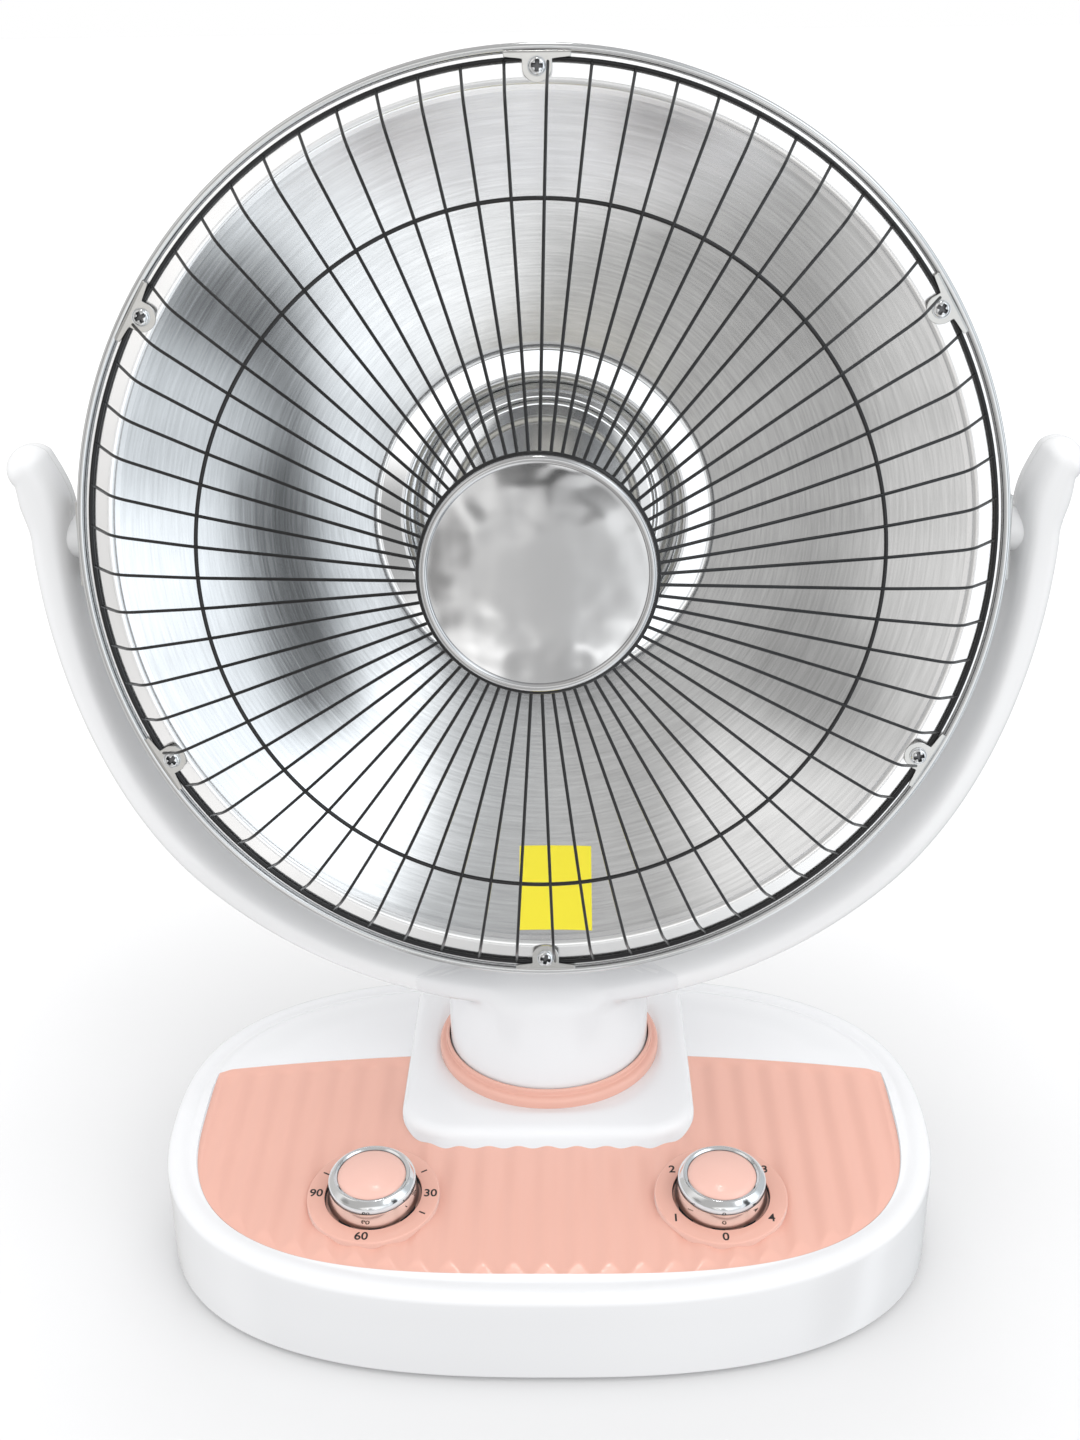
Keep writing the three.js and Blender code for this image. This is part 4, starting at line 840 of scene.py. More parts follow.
def screw_head(radius, height, place, cross=0.62):
    """A pan head with its underside at height 0 and a cross recess in the second material, which paints the shade
    inside the cross.
    """
    sides, steps = 64, 22
    length, width = radius * cross, radius * CROSS_WIDTH
    rings = [circle(radius * 0.98, 0, sides)]
    for k in range(steps + 1):
        share = 1 - k / steps
        rise = height * (1 - share ** 5) * (1 - 0.12 * share ** 2) if k else height * 0.25
        rings.append([(x, y, rise - recess(x, y, length, width, height * CROSS_DEPTH))
                      for x, y, z in circle(max(radius * share, 0.02), 0, sides)])
    skin = Skin().loft(rings)
    # Faces inside the cross take the second material, the painted shade
    for i, face in enumerate(skin.faces):
        x, y = (sum(skin.points[k][axis] for k in face) / len(face) for axis in (0, 1))
        if len(face) == 4 and recess(x, y, length, width, 1) > 0.5:
            skin.marks[i] = 1
    return skin.moved(place)


def recess(x, y, length, width, depth):
    """Depth of the cross at a point of the head."""
    def bar(along, aside):
        return clamped((width - abs(aside)) / 0.12 + 0.5) * clamped((length - abs(along)) / 0.3)

    return depth * max(bar(x, y), bar(y, x))


def clips():
    """The guard's clips with their screws, whose crosses stand at various angles."""
    for i, turn in enumerate(turns(CLIP_COUNT, pi / CLIP_COUNT), 1):
        spin = Matrix.Rotation(turn, 4, "Z")
        piece(f"clip_{i}", clip_skin().moved(spin), DISH, "head", [ZINC], [f"grille_clip_{i}"])
        place = spin @ Matrix.Translation((CLIP_SCREW_PLACE, 0, CLIP_TOP)) @ Matrix.Rotation(i - 0.5, 4, "Z")
        piece(f"clip_screw_head_{i}", screw_head(3.8, 2.3, place), DISH, "head", [SCREW, RECESS_PAINTED_SHADE],
              [f"clip_screw_{i}"], 50)


# Element

def element():
    """The ceramic core with its thread, and the coil wound into the thread."""
    foot = -CUP_DEPTH + 0.3
    shoulder = foot + CORE_COLLAR_HEIGHT
    profile = softened([(CORE_SHANK, foot - 9, 0), (CORE_SHANK, foot, 0), (CORE_COLLAR, foot, 0.5),
                        (CORE_COLLAR, shoulder, 1.2), (CORE_RADIUS, shoulder, 0.8), (CORE_RADIUS, foot + 9, 0)])
    body = [(CORE_RADIUS, z) for z in np.linspace(foot + 9.2, CORE_TIP - 5, 150)]
    end = softened([(CORE_RADIUS, CORE_TIP - 4.8, 0), (CORE_RADIUS, CORE_TIP, 4), (0.02, CORE_TIP, 0)], 8)
    skin = Skin().lathe(profile + body + end, 48)
    skin.points = [threaded(point) for point in skin.points]
    piece("ceramic_core", skin, DISH, "head", [CERAMIC], ["element_core"], 50)
    steps = 24
    path, asides = [], []
    for i in range(COIL_TURNS * steps + 1):
        turn = -2 * pi * i / steps
        out = Vector((cos(turn), sin(turn), 0))
        path.append(out * COIL_RADIUS + Vector((0, 0, -COIL_START + COIL_PITCH * i / steps)))
        asides.append(out)
    coil = Skin().tube(path, COIL_WIRE, 10, asides)
    piece("coil", coil, DISH, "head", [COIL], ["heating_coil"], 60)


def threaded(point):
    """Raises a thread on the core between the turns of the coil."""
    x, y, z = point
    reach = hypot(x, y)
    within = smooth(z, -COIL_START - 2, -COIL_START) * (1 - smooth(z, -27, -24))
    if within == 0 or reach < 1:
        return point
    phase = (z + COIL_START) / COIL_PITCH + atan2(y, x) / (2 * pi)
    rise = THREAD_RISE * within * (0.5 - 0.5 * cos(2 * pi * phase)) ** 2
    scale = (reach + rise) / reach
    return (x * scale, y * scale, z)


# Cover, brackets and bolts behind the dish

def cover():
    """A round tub behind the dish, with slots in its floor and two screws."""
    rim = -(bowl_depth(COVER_RADIUS) + SHEET + 0.7)
    floor = -COVER_DEPTH
    inside = COVER_RADIUS - COVER_SHEET
    line = softened([(0.02, floor, 0), (COVER_RADIUS, floor, COVER_EDGE), (COVER_RADIUS, rim, 0)], 10)
    line += softened([(inside, rim, 0), (inside, floor + COVER_SHEET, COVER_EDGE - 1),
                      (0.02, floor + COVER_SHEET, 0)], 10)
    thing = piece("dish_cover", Skin().lathe(line, 160), DISH, "head", [WHITE], ["rear_cover"])
    slot = []
    for a in turns(24):
        middle = SLOT_PLACE + copysign(SLOT_HALF_LENGTH, cos(a))
        slot.append((middle + SLOT_HALF_WIDTH * cos(a), SLOT_HALF_WIDTH * sin(a)))
    rings = [[(x, y, floor + z) for x, y in slot] for z in (-4, 5)]
    spins = [Matrix.Rotation(turn, 4, "Z") for turn in turns(SLOT_COUNT, pi / SLOT_COUNT)]
    cut(thing, [Skin().loft(rings).moved(spin) for spin in spins], DISH)
    for i, up in enumerate((COVER_SCREW_PLACE, -COVER_SCREW_PLACE), 1):
        place = Matrix.Translation((0, up, floor)) @ Matrix.Rotation(pi, 4, "X")
        piece(f"cover_screw_{i}", screw_head(4, 2.4, place), DISH, "head", [ZINC, RECESS_PAINTED_SHADE],
              [f"rear_cover_screw_{i}"], 50)


def brackets():
    """Bent sheet brackets behind the flange, with rounded corners on both leaves."""
    front = -(FLANGE_DEPTH + SHEET)
    straight = BRACKET_HALF_WIDTH - BRACKET_CORNER
    ends = [(straight + BRACKET_CORNER * sin(a), BRACKET_CORNER * (1 - cos(a)))
            for a in np.radians(np.linspace(0, 90, 9))]
    stations = [(-y, loss) for y, loss in reversed(ends)] + ends
    for name, side in SIDES:
        rings = []
        for y, loss in stations:
            line = softened([(BRACKET_INNER + 0.3 * loss, front, 0), (BRACKET_OUTER, front, 3),
                             (BRACKET_OUTER, loss - BRACKET_DROP, 0)], 6)
            rings.append([(side * r, y, z) for r, z in backed(line, BRACKET_SHEET)])
        piece(f"bracket_{name}", Skin().loft(rings), DISH, "head", [ZINC], [f"pivot_bracket_{name}"])


def bolts():
    """The pivot bolts and the friction washers on them."""
    shank_line = [(SHANK_RADIUS, SHANK_END), (SHANK_RADIUS, ARM_RADIUS - ARM_THICK / 2 + 15)]
    near = BRACKET_OUTER + WASHER_GAP
    far = near + WASHER_THICK
    washer_line = softened([(WASHER_BORE, near, 0), (WASHER_RADIUS, near, 0.3), (WASHER_RADIUS, far, 0.3),
                            (WASHER_BORE, far, 0)])
    for name, side in SIDES:
        head = screw_head(BOLT_HEAD, BOLT_RISE, pivot_frame(side, SINK_FLOOR + 0.3), 0.5)
        shank = Skin().lathe(shank_line, 32).moved(pivot_frame(side))
        piece(f"bolt_{name}", head.add(shank), NECK, "neck", [ZINC, RECESS_PAINTED_SHADE], [f"pivot_bolt_{name}"], 50)
        washer = Skin().lathe(washer_line, 48, looped=True).moved(pivot_frame(side))
        piece(f"washer_{name}", washer, NECK, "neck", [BLACK], [f"friction_washer_{name}"])


# Arms

def arm_stations():
    """Middle line of the right arm from the bottom to the tip of its horn, with its cross sizes."""
    stations = []
    for i in range(91):
        turn = radians(i)
        eased = smooth(pi / 2 - turn, 0, pi / 4)
        depth = ARM_DEPTH_HIGH + (ARM_DEPTH_LOW - ARM_DEPTH_HIGH) * eased
        stations.append((ARM_RADIUS * sin(turn), PIVOT_Z - ARM_RADIUS * cos(turn), turn - pi / 2, ARM_THICK, depth,
                         smooth(turn, 0.45, 1.2)))
    for i in range(1, 25):
        share = i / 24
        lean = -share ** 2 * pi / 4
        thick = ARM_THICK + (2 * HORN_RADIUS - ARM_THICK) * share + 2.4 * sin(pi * share) ** 2
        stations.append((ARM_RADIUS + HORN_FLARE * share ** 2, PIVOT_Z + HORN_RISE * share, lean, thick,
                         ARM_DEPTH_HIGH, 1))
    return stations


def arm_ring(station, side, front, corners=40):
    """Half a cross-section, on the front or the rear side of the parting plane."""
    x, z, lean, thick, depth, ridge = station
    ring = []
    for i in range(corners + 1):
        a = pi * i / corners
        out = signed_power(cos(a), ARM_SQUARENESS) * thick / 2
        along = abs(sin(a)) ** ARM_SQUARENESS * depth / 2
        if front:
            drop = 1.6 * ridge * abs(out / (thick / 2) + 0.35) ** 1.4
            along -= drop * smooth(along, 0, 8)
        along = max(along, ARM_PARTING / 2)
        ring.append((side * (x + cos(lean) * out), -along if front else along, z + sin(lean) * out))
    return ring


def horn_cap(ring, side, front):
    """Rounds the end of a horn off in ever smaller rings."""
    middle = sum((Vector(point) for point in ring), Vector()) / len(ring)
    middle.y = 0
    along = Vector((side * sin(pi / 4), 0, cos(pi / 4)))
    rings = []
    for k in range(1, 11):
        a = pi / 2 * k / 10
        shrink = max(cos(a), 0.02)
        moved = []
        for point in ring:
            spot = middle + (Vector(point) - middle) * shrink + along * HORN_RADIUS * sin(a)
            spot.y = min(spot.y, -ARM_PARTING / 2) if front else max(spot.y, ARM_PARTING / 2)
            moved.append(tuple(spot))
        rings.append(moved)
    return rings


def arms():
    """The arm's front and rear half with sinks for the bolts' heads, and the bosses at its ends."""
    stations = arm_stations()
    sink = [(BOLT_HEAD + 0.5, SINK_FLOOR), (BOLT_HEAD + 0.5, ARM_RADIUS + ARM_THICK)]
    for name, front in (("front", True), ("rear", False)):
        right = [arm_ring(station, 1, front) for station in stations]
        left = [arm_ring(station, -1, front) for station in stations[1:]]
        rings = horn_cap(left[-1], -1, front)[::-1] + left[::-1] + right + horn_cap(right[-1], 1, front)
        thing = piece(f"arm_{name}", Skin().loft(rings), NECK, "neck", [ARM_WHITE_PAINTED_LIGHT],
                      [f"arm_{name}_shell"], 40)
        cut(thing, [Skin().lathe(sink, 48).moved(pivot_frame(side)) for _, side in SIDES], NECK)
    end = ARM_RADIUS - 5
    boss_line = softened([(BOSS_BORE, BOSS_FACE, 0), (BOSS_RADIUS, BOSS_FACE, 0.8), (BOSS_RADIUS, end, 0),
                          (BOSS_BORE, end, 0)])
    for name, side in SIDES:
        boss = Skin().lathe(boss_line, 48, looped=True).moved(pivot_frame(side))
        piece(f"arm_boss_{name}", boss, NECK, "neck", [ARM_WHITE_PAINTED_LIGHT])


def arm_distance(x, y, z):
    """About how far places lie outside the arms, near their lowest stretch."""
    out = (np.hypot(x, PIVOT_Z - z) - ARM_RADIUS) / (ARM_THICK / 2)
    along = y / (ARM_DEPTH_LOW / 2)
    power = 2 / ARM_SQUARENESS
    level = np.maximum((np.abs(out) ** power + np.abs(along) ** power) ** (1 / power), 1e-3)
    slope = level ** (1 - power) * np.hypot(np.abs(out) ** (power - 1) / (ARM_THICK / 2),
                                            np.abs(along) ** (power - 1) / (ARM_DEPTH_LOW / 2))
    return (level - 1) / np.maximum(slope, 1e-3)


def column():
    """The neck: a round column that flows into the arms, with a soft shoulder below the dish."""
    foot = softened([(NECK_RADIUS - 0.6, 65.6, 0), (NECK_RADIUS, 66.4, 0.4), (NECK_RADIUS, 90, 0)])
    rings = [circle(radius, z, COLUMN_SIDES) for radius, z in foot]
    reach = np.linspace(30, COLUMN_REACH + 30, 500)
    for z in np.linspace(92, SHOULDER_TOP, 44):
        ring = []
        round_part = NECK_RADIUS - SHOULDER_FALL * smooth(z, SHOULDER_START, SHOULDER_TOP + 8) ** 1.3 * 1.7
        for a in turns(COLUMN_SIDES):
            x, y = reach * cos(a), reach * sin(a)
            flank = np.abs(x)
            sink = 1.8 * np.clip((flank - 50) / 28, 0, 1) ** 2 - 0.35
            arm = arm_distance(x, y, z) + sink
            column_part = reach - round_part
            share = np.clip(0.5 + 0.5 * (arm - column_part) / BLEND, 0, 1)
            field = arm * (1 - share) + column_part * share - BLEND * share * (1 - share)
            field = np.maximum(field, flank - COLUMN_REACH)
            last = int(np.nonzero(field < 0)[0][-1])
            step = field[last] / (field[last] - field[last + 1])
            r = reach[last] + step * (reach[last + 1] - reach[last])
            ring.append((r * cos(a), r * sin(a), z))
        rings.append(ring)
    for share, rise in ((0.97, 0.5), (0.92, 0.9), (0.8, 1.2), (0.5, 1.4), (0.02, 1.5)):
        rings.append([(x * share, y * share, SHOULDER_TOP + rise) for x, y, z in ring])
    piece("column", Skin().loft(rings), NECK, "neck", [WHITE], ["neck_column"], 60)


# Base

def plan_ring(inset, height):
    """A ring on the base's outline, drawn in by an inset, with its height from a function of y."""
    power = BASE_ROUNDNESS
    half_width = BASE_HALF_WIDTH - inset
    half_depth = (BASE_BACK + BASE_FRONT) / 2 - inset
    ring = []
    for a in turns(BASE_SIDES):
        c, s = cos(a), sin(a)
        reach = ((abs(c) / half_width) ** power + (abs(s) / half_depth) ** power) ** (-1 / power)
        y = BASE_MIDDLE + reach * s
        ring.append((reach * c, y, height(y)))
    return ring


def rim_height(y):
    return min(BASE_WALL_TOP + BASE_RIM_RISE + RIM_SLOPE * (y + BASE_FRONT), RIM_BACK_HEIGHT)


def border_height(y):
    """Height of the border beside the panel, nearer to the rim's at the back."""
    share = BASE_BORDER / (BASE_BORDER + BACK_FALL)
    return min(top_height(y), rim_height(y) + (CROWN_HEIGHT - rim_height(y)) * share)


def base_shell():
    """The white housing: an upright wall, a rounded rim and a sloping top with a pocket for the panel."""
    rings = []

    def ring(inset, height):
        rings.append(plan_ring(inset, height))

    for inset in (60, BASE_BORDER + BASE_WALL + BACK_FALL):
        ring(inset, lambda y: top_height(y) - BASE_WALL)
    ring(BASE_BORDER + BASE_WALL, lambda y: border_height(y) - BASE_WALL)
    ring(BASE_WALL, lambda y: rim_height(y) - BASE_RIM_RISE - BASE_WALL)
    ring(BASE_WALL, lambda y: 3)
    for inset, z in softened([(BASE_WALL, 2.5, 0), (0, 2.5, 1.4), (0, 30, 0)])[:-1]:
        ring(inset, lambda y: z)
    ring(0, lambda y: 20)
    section = softened([(0, -12, 0), (0, -1.3, 3.2), (5.2, 0, 2.2), (9.4, -0.9, 1.5), (BASE_BORDER - 1.6, -2.4, 0)], 7)
    for inset, drop in section:
        share = smooth(inset, 9, BASE_BORDER)
        ring(inset, lambda y: (rim_height(y) + drop) * (1 - share) + border_height(y) * share)
    for share in np.linspace(0, 1, 12):
        eased = smooth(share, 0, 1)
        ring(BASE_BORDER + BACK_FALL * share, lambda y: border_height(y) * (1 - eased) + top_height(y) * eased)
    for inset in (52, 64, 76, 88, 100):
        ring(inset, top_height)
    thing = piece("housing", Skin().loft(rings), NECK, "base", [WHITE], ["base_shell"])
    outline = panel_outline(PANEL_GAP, 240)
    levels = (-PANEL_POCKET, 6)
    cut(thing, [Skin().loft([[(x, y, top_height(y) + level) for x, y in outline] for level in levels])], NECK)


def panel_edges(x, gap=0.0):
    """Front and back edges of the panel at a place across it."""
    share = min(abs(x) / (PANEL_HALF_WIDTH + gap), 1)
    reach = (PANEL_FRONT + BASE_MIDDLE + gap) * (1 - share ** PANEL_ROUNDNESS) ** (1 / PANEL_ROUNDNESS)
    back = -(PANEL_ARC + PANEL_BACK_EDGE) + sqrt((PANEL_ARC + gap) ** 2 - x ** 2)
    return BASE_MIDDLE - reach, max(min(BASE_MIDDLE + reach, back), BASE_MIDDLE - reach)


def side_to_side(half, count):
    """Places across the panel, closer together near its sides."""
    return [half * sin(pi / 2 * t) for t in np.linspace(-1, 1, count)]


def panel_outline(gap, count):
    """The panel's outline: forward along its front edge and back along its back edge."""
    places = side_to_side((PANEL_HALF_WIDTH + gap) * 0.99999, count)
    front = [(x, panel_edges(x, gap)[0]) for x in places]
    back = [(x, panel_edges(x, gap)[1]) for x in reversed(places)]
    return front + back


def edge_distance(x, y):
    """About how far a place lies inside the panel's front and side edge."""
    half_depth = PANEL_FRONT + BASE_MIDDLE
    power = PANEL_ROUNDNESS
    u, v = abs(x) / PANEL_HALF_WIDTH, abs(y - BASE_MIDDLE) / half_depth
    level = max((u ** power + v ** power) ** (1 / power), 1e-6)
    slope = level ** (1 - power) * hypot(u ** (power - 1) / PANEL_HALF_WIDTH, v ** (power - 1) / half_depth)
    return (1 - level) / max(slope, 1e-6)


def panel_height(x, y):
    """Ribs run from front to back and end at a chamfer along the edge."""
    fade = smooth(panel_edges(x)[1] - y, 0.5, 7)
    rib = fade * RIB_RISE / 2 * (cos(2 * pi * x / RIB_PITCH) - 1)
    chamfer = -RIB_RISE * 1.05 + 0.26 * max(edge_distance(x, y), 0)
    blend = 0.1 * max(0, 1 - abs(rib - chamfer) / 0.4) ** 2
    return top_height(y) + min(rib, chamfer) - blend


def panel():
    """The ribbed panel, with its points closest together along the chamfer of its front edge."""
    near = [0, 0.3, 0.7, 1.1, *np.arange(1.5, 7.1, 0.5), 7.6, 8.4, 9.5]
    rings = []
    for x in side_to_side(PANEL_HALF_WIDTH * 0.9995, 641):
        front, back = panel_edges(x)
        length = back - front
        offsets = [v * min(1, length / 40) for v in near]
        offsets += [*np.linspace(offsets[-1], length * 0.94, 12)[1:], *np.linspace(length * 0.95, length, 8)]
        ring = [(x, front + v, panel_height(x, front + v)) for v in offsets]
        rings.append(ring + [(x, y, top_height(y) - PANEL_POCKET + 0.3) for y in (back, front)])
    thing = piece("ribbed_panel", Skin().loft(rings), NECK, "base", [SALMON], ["control_panel"], 50)
    thing.visible_glossy = False
    thing.visible_diffuse = False
    thing.visible_shadow = False


def apron_outline(inset):
    """The plate's outline, drawn in by an inset: square behind, with round corners in front."""
    half = APRON_HALF_WIDTH - inset
    front = APRON_FRONT - inset
    back = APRON_BACK - inset
    corner = APRON_CORNER - inset * 0.6
    straight = half - corner
    bend = corner - front
    arc = np.linspace(0, pi / 2, 24)
    points = [(half, y) for y in np.linspace(back, bend, 14)[:-1]]
    points += [(straight + corner * cos(a), bend - corner * sin(a)) for a in arc]
    points += [(x, -front) for x in np.linspace(straight, -straight, 30)[1:-1]]
    points += [(-straight - corner * sin(a), bend - corner * cos(a)) for a in arc]
    points += [(-half, y) for y in np.linspace(bend, back, 14)[1:]]
    points += [(x, back) for x in np.linspace(-half, half, 30)[1:-1]]
    return points


def apron():
    """A raised plate with a soft edge, slightly dished round the collar."""
    edge = softened([(0, APRON_FOOT, 0), (0, APRON_TOP, 5.5), (APRON_FLAT, APRON_TOP, 0)], 10)
    rings = [[(x, y, z) for x, y in apron_outline(inset)] for inset, z in edge]
    for share in np.linspace(0.15, 1, 14):
        ring = []
        for x, y in apron_outline(APRON_FLAT):
            reach = hypot(x, y)
            r = reach + (APRON_HOLE - reach) * share
            dish = APRON_DISH * (1 - smooth(r, 55, 70)) * smooth(share, 0, 0.7)
            ring.append((x * r / reach, y * r / reach, APRON_TOP - dish))
        rings.append(ring)
    piece("apron", Skin().loft(rings), NECK, "base", [WHITE], ["apron_plate"])


def collar():
    """The ring round the neck's foot, with a step up to a thin lip."""
    inner = NECK_RADIUS + 0.7
    step = inner + 1.6
    line = softened([(inner, COLLAR_FOOT, 0), (COLLAR_RADIUS, COLLAR_FOOT, 0), (COLLAR_RADIUS, 66.2, 2.1),
                     (step, 66.6, 0.7), (step, COLLAR_TOP, 0.9), (inner, COLLAR_TOP, 0.5),
                     (inner, COLLAR_FOOT, 0)], 8)
    piece("collar", Skin().lathe(line[:-1], 192, looped=True), NECK, "base", [SALMON],
          ["neck_collar"])


# Knobs and dials

def knob(name, side, body):
    """A knob's skirt and cap, and the chrome ring that fits round the cap. The skirt's chrome has a salmon cast as a
    painted reflection of the panel, and the cap's salmon is lightened as a painted highlight.
    """
    place = knob_frame(side)
    seat = KNOB_SHOULDER + 0.3
    skirt = softened([(4, 0.6, 0), (KNOB_SKIRT - 0.8, 0.6, 0), (KNOB_SKIRT, 1.2, 0.5),
                      (KNOB_RING - 0.1, KNOB_SHOULDER, 0.3), (KNOB_CAP + 0.6, seat, 0), (KNOB_CAP, seat, 0)])
    # The skirt takes the second material: chrome with a salmon cast, a painted reflection of the panel
    skin = Skin().lathe(skirt, KNOB_SIDES, mark=1)
    dome = [(KNOB_CAP, KNOB_SHOULDER)]
    dome += softened([(KNOB_CAP, KNOB_RING_TOP - 2, 0), (KNOB_CAP, KNOB_RING_TOP - 0.7, 0.6),
                      (KNOB_CAP - 0.8, KNOB_RING_TOP - 0.3, 0)], 6)
    dome += [(KNOB_CAP * s, KNOB_CROWN - KNOB_DOME * s * s) for s in (*np.linspace(0.9, 0.1, 9), 0.001)]
    skin.lathe(dome, KNOB_SIDES)
    # The cap's lighter salmon is a painted highlight
    cap = piece(f"{name}_cap", skin, place, body, [CAP_PAINTED_HIGHLIGHT, CHROME_PAINTED_REFLECTION], [f"{name}_knob"], 40)
    cap.visible_glossy = False
    ring = softened([(KNOB_CAP + 0.15, seat, 0), (KNOB_RING + 0.1, seat, 0.4),
                     (KNOB_RING + 0.1, KNOB_RING_TOP - 2.2, 1.2), (KNOB_CAP + 1.6, KNOB_RING_TOP + 0.5, 1.0),
                     (KNOB_CAP + 0.15, KNOB_RING_TOP - 0.6, 0)], 6)
    piece(f"{name}_ring", Skin().lathe(ring, KNOB_SIDES, looped=True), place, body, [CHROME],
          [f"{name}_knob_ring"], 40)


def dial(name, side, marks):
    """A raised ring round a black well, whose black paints the shade in the gap round the knob; marks holds (degrees
    clockwise from the back, number or nothing).
    """
    place = knob_frame(side)
    line = softened([(DIAL_INNER, DIAL_FOOT, 0), (DIAL_OUTER, DIAL_FOOT, 0), (DIAL_OUTER, DIAL_TOP, 0.7),
                     (DIAL_INNER, DIAL_TOP, 0.3), (DIAL_INNER, DIAL_FOOT, 0)])
    skin = Skin().lathe(line[:-1], KNOB_SIDES, looped=True)
    thing = piece(f"{name}_dial_ring", skin, place, "base", [SALMON], [f"{name}_dial"])
    thing.visible_glossy = False
    outer, inner, rim = DIAL_INNER + 0.1, DIAL_INNER - 0.25, DIAL_TOP - 0.9
    low, high = DIAL_FOOT + 0.05, DIAL_FOOT + 0.5
    # Painted shade: a black sheet in the gap under the knob's skirt, where there is only shade
    well = Skin().lathe([(5, low), (outer, low), (outer, rim), (inner, rim), (inner, high), (5, high)], 96,
                        looped=True)
    painted_shade_well = piece(f"{name}_well", well, place, "base", [BLACK])
    painted_shade_well.visible_glossy = False
    middle = (DIAL_INNER + DIAL_OUTER) / 2
    for i, (turn, text) in enumerate(marks, 1):
        angle = radians(90 - turn)
        spot = (middle * cos(angle), middle * sin(angle))
        if text:
            number(f"{name}_number_{i}", text, place, spot)
        else:
            tick(f"{name}_tick_{i}", place, spot, angle)


def number(name, text, place, spot):
    curve = bpy.data.curves.new(name, "FONT")
    curve.body = text
    curve.size = NUMBER_SIZE * MM
    curve.extrude = NUMBER_THICK * MM
    curve.offset = NUMBER_WEIGHT * MM
    curve.align_x = "CENTER"
    curve.align_y = "CENTER"
    source = added(name, curve)
    mesh = final_mesh(source)
    bpy.data.objects.remove(source)
    mesh.materials.clear()
    mesh.materials.append(INK)
    thing = added(name, mesh)
    thing.matrix_world = place @ Matrix.Translation((spot[0] * MM, spot[1] * MM, (DIAL_TOP + 0.02) * MM))
    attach(thing, "base")


def tick(name, place, spot, angle):
    outline = [(-TICK_LENGTH / 2, -TICK_WIDTH / 2), (TICK_LENGTH / 2, -TICK_WIDTH / 2),
               (TICK_LENGTH / 2, TICK_WIDTH / 2), (-TICK_LENGTH / 2, TICK_WIDTH / 2)]
    skin = Skin().loft([[(x, y, z) for x, y in outline] for z in (-0.05, 0.05)])
    skin.moved(Matrix.Translation((*spot, DIAL_TOP + 0.03)) @ Matrix.Rotation(angle, 4, "Z"))
    piece(name, skin, place, "base", [INK])


# Feet and cord inlet

def feet():
    line = softened([(0.02, 0, 0), (7.6, 0, 0.3), (8.6, 0.2, 0.3), (9, 2.7, 0.3), (2.6, 2.7, 0), (2.6, 5.2, 0)])
    for i in range(1, 5):
        centre = middle_of(f"foot_{i}")
        place = Matrix.Translation((centre.x * MM, centre.y * MM, 0))
        piece(f"rubber_foot_{i}", Skin().lathe(line, 48), place, "base", [RUBBER], [f"foot_{i}"])


def gland():
    """The inlet for the cord in the base's back wall."""
    line = softened([(3.4, -10, 0), (5.5, -10, 0.4), (5.5, 0, 0), (9, 0, 0.4), (8.7, 2.5, 0.9), (4.2, 2.5, 0.8),
                     (3.4, 0, 0)])
    place = Matrix.Translation((0, BASE_BACK + 0.3, GLAND_HEIGHT)) @ Matrix.Rotation(-pi / 2, 4, "X")
    skin = Skin().lathe(line, 48, looped=True).moved(place)
    piece("cord_inlet", skin, NECK, "base", [RUBBER], ["inlet_gland"])


def finish_kept_nodes():
    """Materials of the model's own nodes that stay in view."""
    kept = {
        "bottom_plate": WHITE, "swivel_bearing": GREY, "swing_motor": ZINC, "crank": BLACK, "tip_switch": GREY,
        "tip_plunger": BLACK, "timer_unit": GREY, "selector_unit": GREY, "swivel_post": ZINC,
        "slotted_lever": GREY, "neck_screw_1": ZINC, "neck_screw_2": ZINC, "core_socket": CERAMIC,
    }
    for name, material in kept.items():
        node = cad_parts[name]
        node.data.materials.clear()
        node.data.materials.append(material)


# Studio

def studio():
    """A pale floor that brightens with distance, darker close round the heater as a painted shadow and lighter far off
    as painted light, with the world and three soft lights.
    """
    floor = bpy.data.meshes.new("floor")
    size = FLOOR_SIZE
    floor.from_pydata([(-size, -size, 0), (size, -size, 0), (size, size, 0), (-size, size, 0)], [], [(0, 1, 2, 3)])
    ground = Finish("pale floor", (0.86, 0.86, 0.865), Roughness=0.9, Specular_IOR_Level=0.1)
    far = ground.node("VectorMath", {0: ground.place}, operation="LENGTH").outputs["Value"]
    # Painted shadow and painted light: darkest within 0.16 m of the middle, lighter up to 0.36 m, and lighter again
    # from 0.5 m to 2.6 m
    near = ground.calc("MULTIPLY_ADD", ground.noise(3, 2), 0.02, ground.ranged(far, 0, 0.36, 0.16, 0.36))
    share = ground.calc("ADD", near, ground.ranged(far, 0, 0.62, 0.5, 2.6))
    ground.set("Base Color", ground.blend(share, FLOOR_NEAR_PAINTED_SHADOW, FLOOR_FAR))
    floor.materials.append(ground.material)
    thing = added("floor", floor)
    thing.visible_glossy = False
    thing.visible_diffuse = False
    world_light()
    softbox("key", (1.5, -1.6, 2.2), 1.2, 5)
    softbox("top", (0, 2.1, 1.9), 1.6, 14)
    softbox("fill", (-0.3, -2.6, 0.4), 1.6, 6)


def softbox(name, where, size, power):
    """A square light that shines on the heater from a place in metres."""
    light = bpy.data.lights.new(name, "AREA")
    light.shape = "SQUARE"
    light.size = size
    light.energy = power
    thing = added(name, light)
    thing.location = where
    thing.visible_glossy = False
    aim = Vector((0, 0, 0.25)) - Vector(where)
    thing.rotation_mode = "QUATERNION"
    thing.rotation_quaternion = aim.to_track_quat("-Z", "Y")


def aimed(turn, rise):
    """A direction from its turn right of the front and its rise, in degrees."""
    turn, rise = radians(turn), radians(rise)
    return (sin(turn) * cos(rise), -cos(turn) * cos(rise), sin(rise))


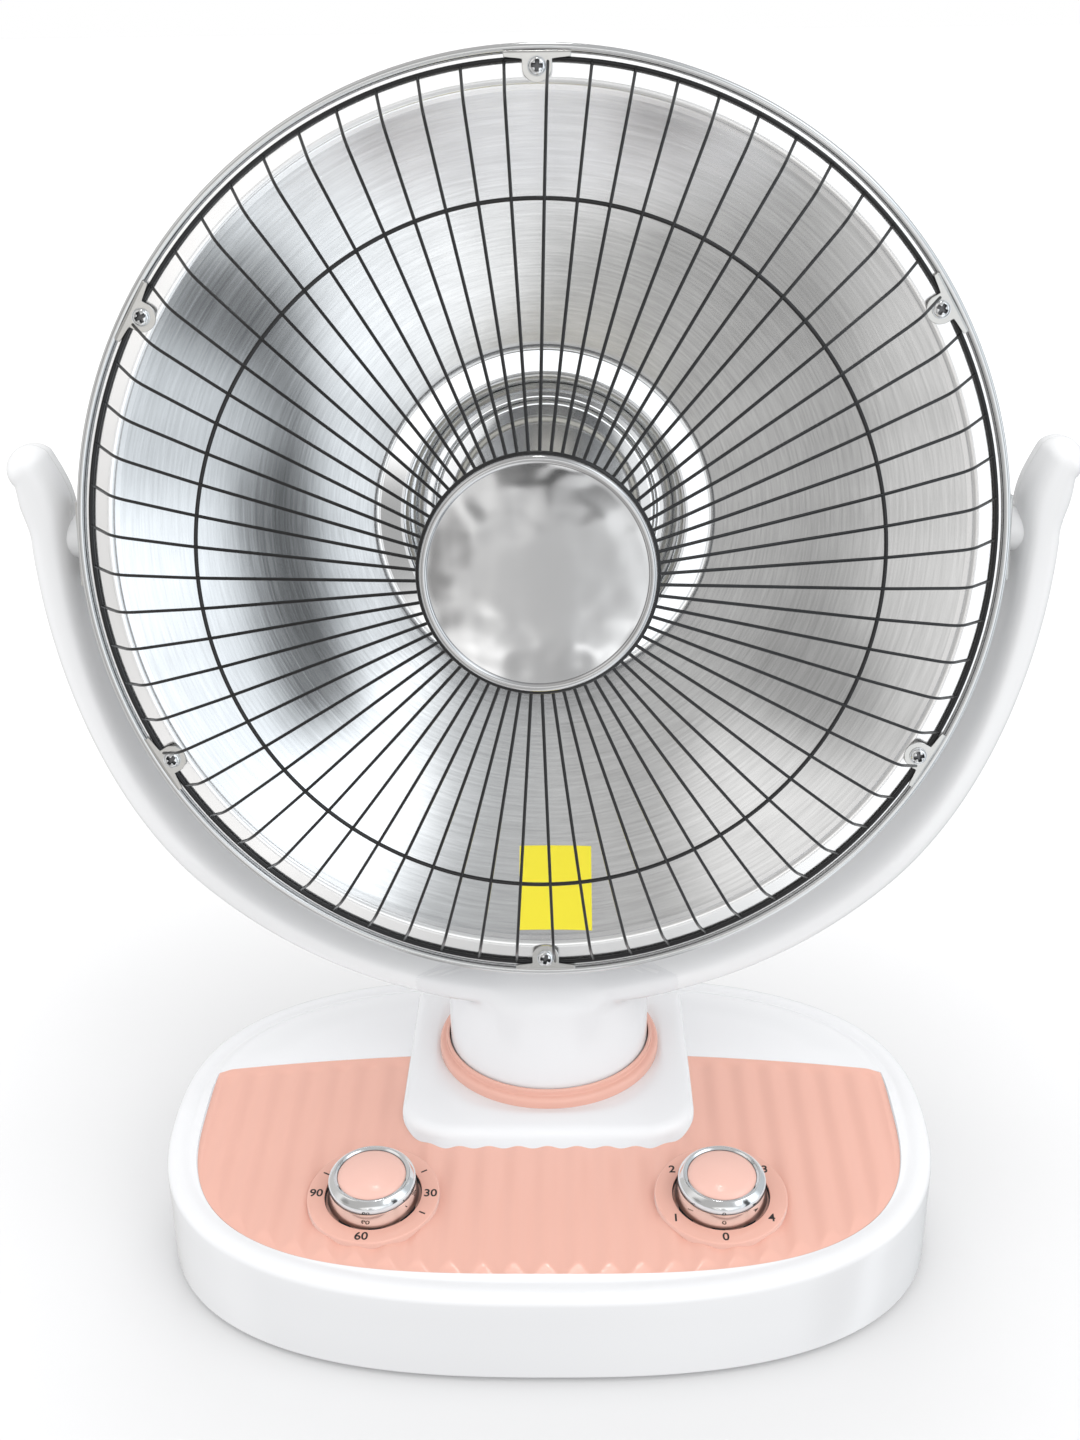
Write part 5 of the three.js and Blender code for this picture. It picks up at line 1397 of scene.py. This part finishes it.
def world_light():
    """White behind the object, even light from all round, and a room with bright and dark walls to reflect."""
    world = bpy.data.worlds.new("studio")
    bpy.context.scene.world = world
    world.use_nodes = True
    world.node_tree.nodes.clear()
    nodes = Nodes(world.node_tree)
    node, calc = nodes.node, nodes.calc
    direction = node("TexCoord").outputs["Generated"]
    parts = node("SeparateXYZ", {0: direction}).outputs

    def lobe(aim, start, end):
        """1 towards the aim, falling to 0 between two angles from it, in degrees."""
        aim = Vector(aim).normalized()
        dot = node("VectorMath", {0: direction, 1: aim}, operation="DOT_PRODUCT").outputs["Value"]
        limits = {"Value": dot, "From Min": cos(radians(end)), "From Max": cos(radians(start))}
        return node("MapRange", limits, interpolation_type="SMOOTHSTEP").outputs["Result"]

    def background(colour, strength):
        return node("Background", {"Color": colour, "Strength": strength}).outputs[0]

    def either(share, first, second):
        return node("MixShader", {0: share, 1: first, 2: second}).outputs[0]

    even = 0.0
    for aim, start, end, level in EVEN_LIGHTS:
        even = calc("MULTIPLY_ADD", lobe(aim, start, end), level, even)
    even = calc("ADD", even, nodes.ranged(parts[2], *GROUND_LEVELS, -0.25, 0.1))

    ramp = node("ValToRGB")
    ramp.color_ramp.interpolation = "EASE"
    for degrees, level in ROOM_WALLS:
        stop = ramp.color_ramp.elements.new(degrees / 360 + 0.5)
        stop.color = (level, level, level, 1)
    ramp.color_ramp.elements.remove(ramp.color_ramp.elements[-1])
    azimuth = calc("ARCTAN2", parts[0], calc("MULTIPLY", parts[1], -1.0))
    nodes.feed(ramp.inputs["Fac"], calc("ADD", calc("DIVIDE", azimuth, 2 * pi), 0.5))
    room = node("RGBToBW", {0: ramp.outputs["Color"]}).outputs[0]
    for turn, rise, start, end, level in ROOM_PATCHES:
        share = lobe(aimed(turn, rise), start, end)
        rest = calc("MULTIPLY", room, calc("SUBTRACT", 1.0, share))
        room = calc("ADD", rest, calc("MULTIPLY", share, level))
    tint = nodes.blend(nodes.ranged(parts[0], 0, 1, -0.2, 0.75), ROOM_LEFT_TINT, ROOM_RIGHT_TINT)

    white = (1, 1, 1, 1)
    path = node("LightPath").outputs
    lit = either(path["Is Glossy Ray"], background(white, even), background(tint, room))
    node("OutputWorld", {"Surface": either(path["Is Camera Ray"], lit, background(white, 1.0))})


def camera():
    """The photograph's camera: a little right of the middle, looking down at the dish."""
    down, left, roll = radians(CAMERA_DOWN), radians(CAMERA_LEFT), radians(CAMERA_ROLL)
    ahead = Vector((-sin(left) * cos(down), cos(left) * cos(down), -sin(down)))
    level = Vector((cos(left), sin(left), 0))
    upward = level.cross(ahead)
    right = level * cos(roll) - upward * sin(roll)
    up = upward * cos(roll) + level * sin(roll)
    data = bpy.data.cameras.new("camera")
    data.sensor_width = SENSOR
    data.lens = SENSOR * FOCAL_PIXELS / PHOTO_HEIGHT
    data.clip_end = 200
    thing = added("camera", data)
    thing.matrix_world = placed(right, up, -ahead, CAMERA_PLACE)
    bpy.context.scene.camera = thing


def build():
    camera()
    studio()
    reflector()
    blank_label()
    guard()
    disc()
    clips()
    element()
    cover()
    brackets()
    bolts()
    arms()
    column()
    base_shell()
    panel()
    apron()
    collar()
    knob("timer", -1, "timer_control")
    knob("selector", 1, "selector_control")
    dial("timer", -1, [(16, ""), (58, ""), (90, "30"), (117, ""), (186, "60"), (270, "90"), (298, "")])
    dial("selector", 1, [(180, "0"), (235, "1"), (305, "2"), (55, "3"), (125, "4")])
    feet()
    gland()
    finish_kept_nodes()


build()
bpy.context.scene.view_settings.view_transform = "Standard"
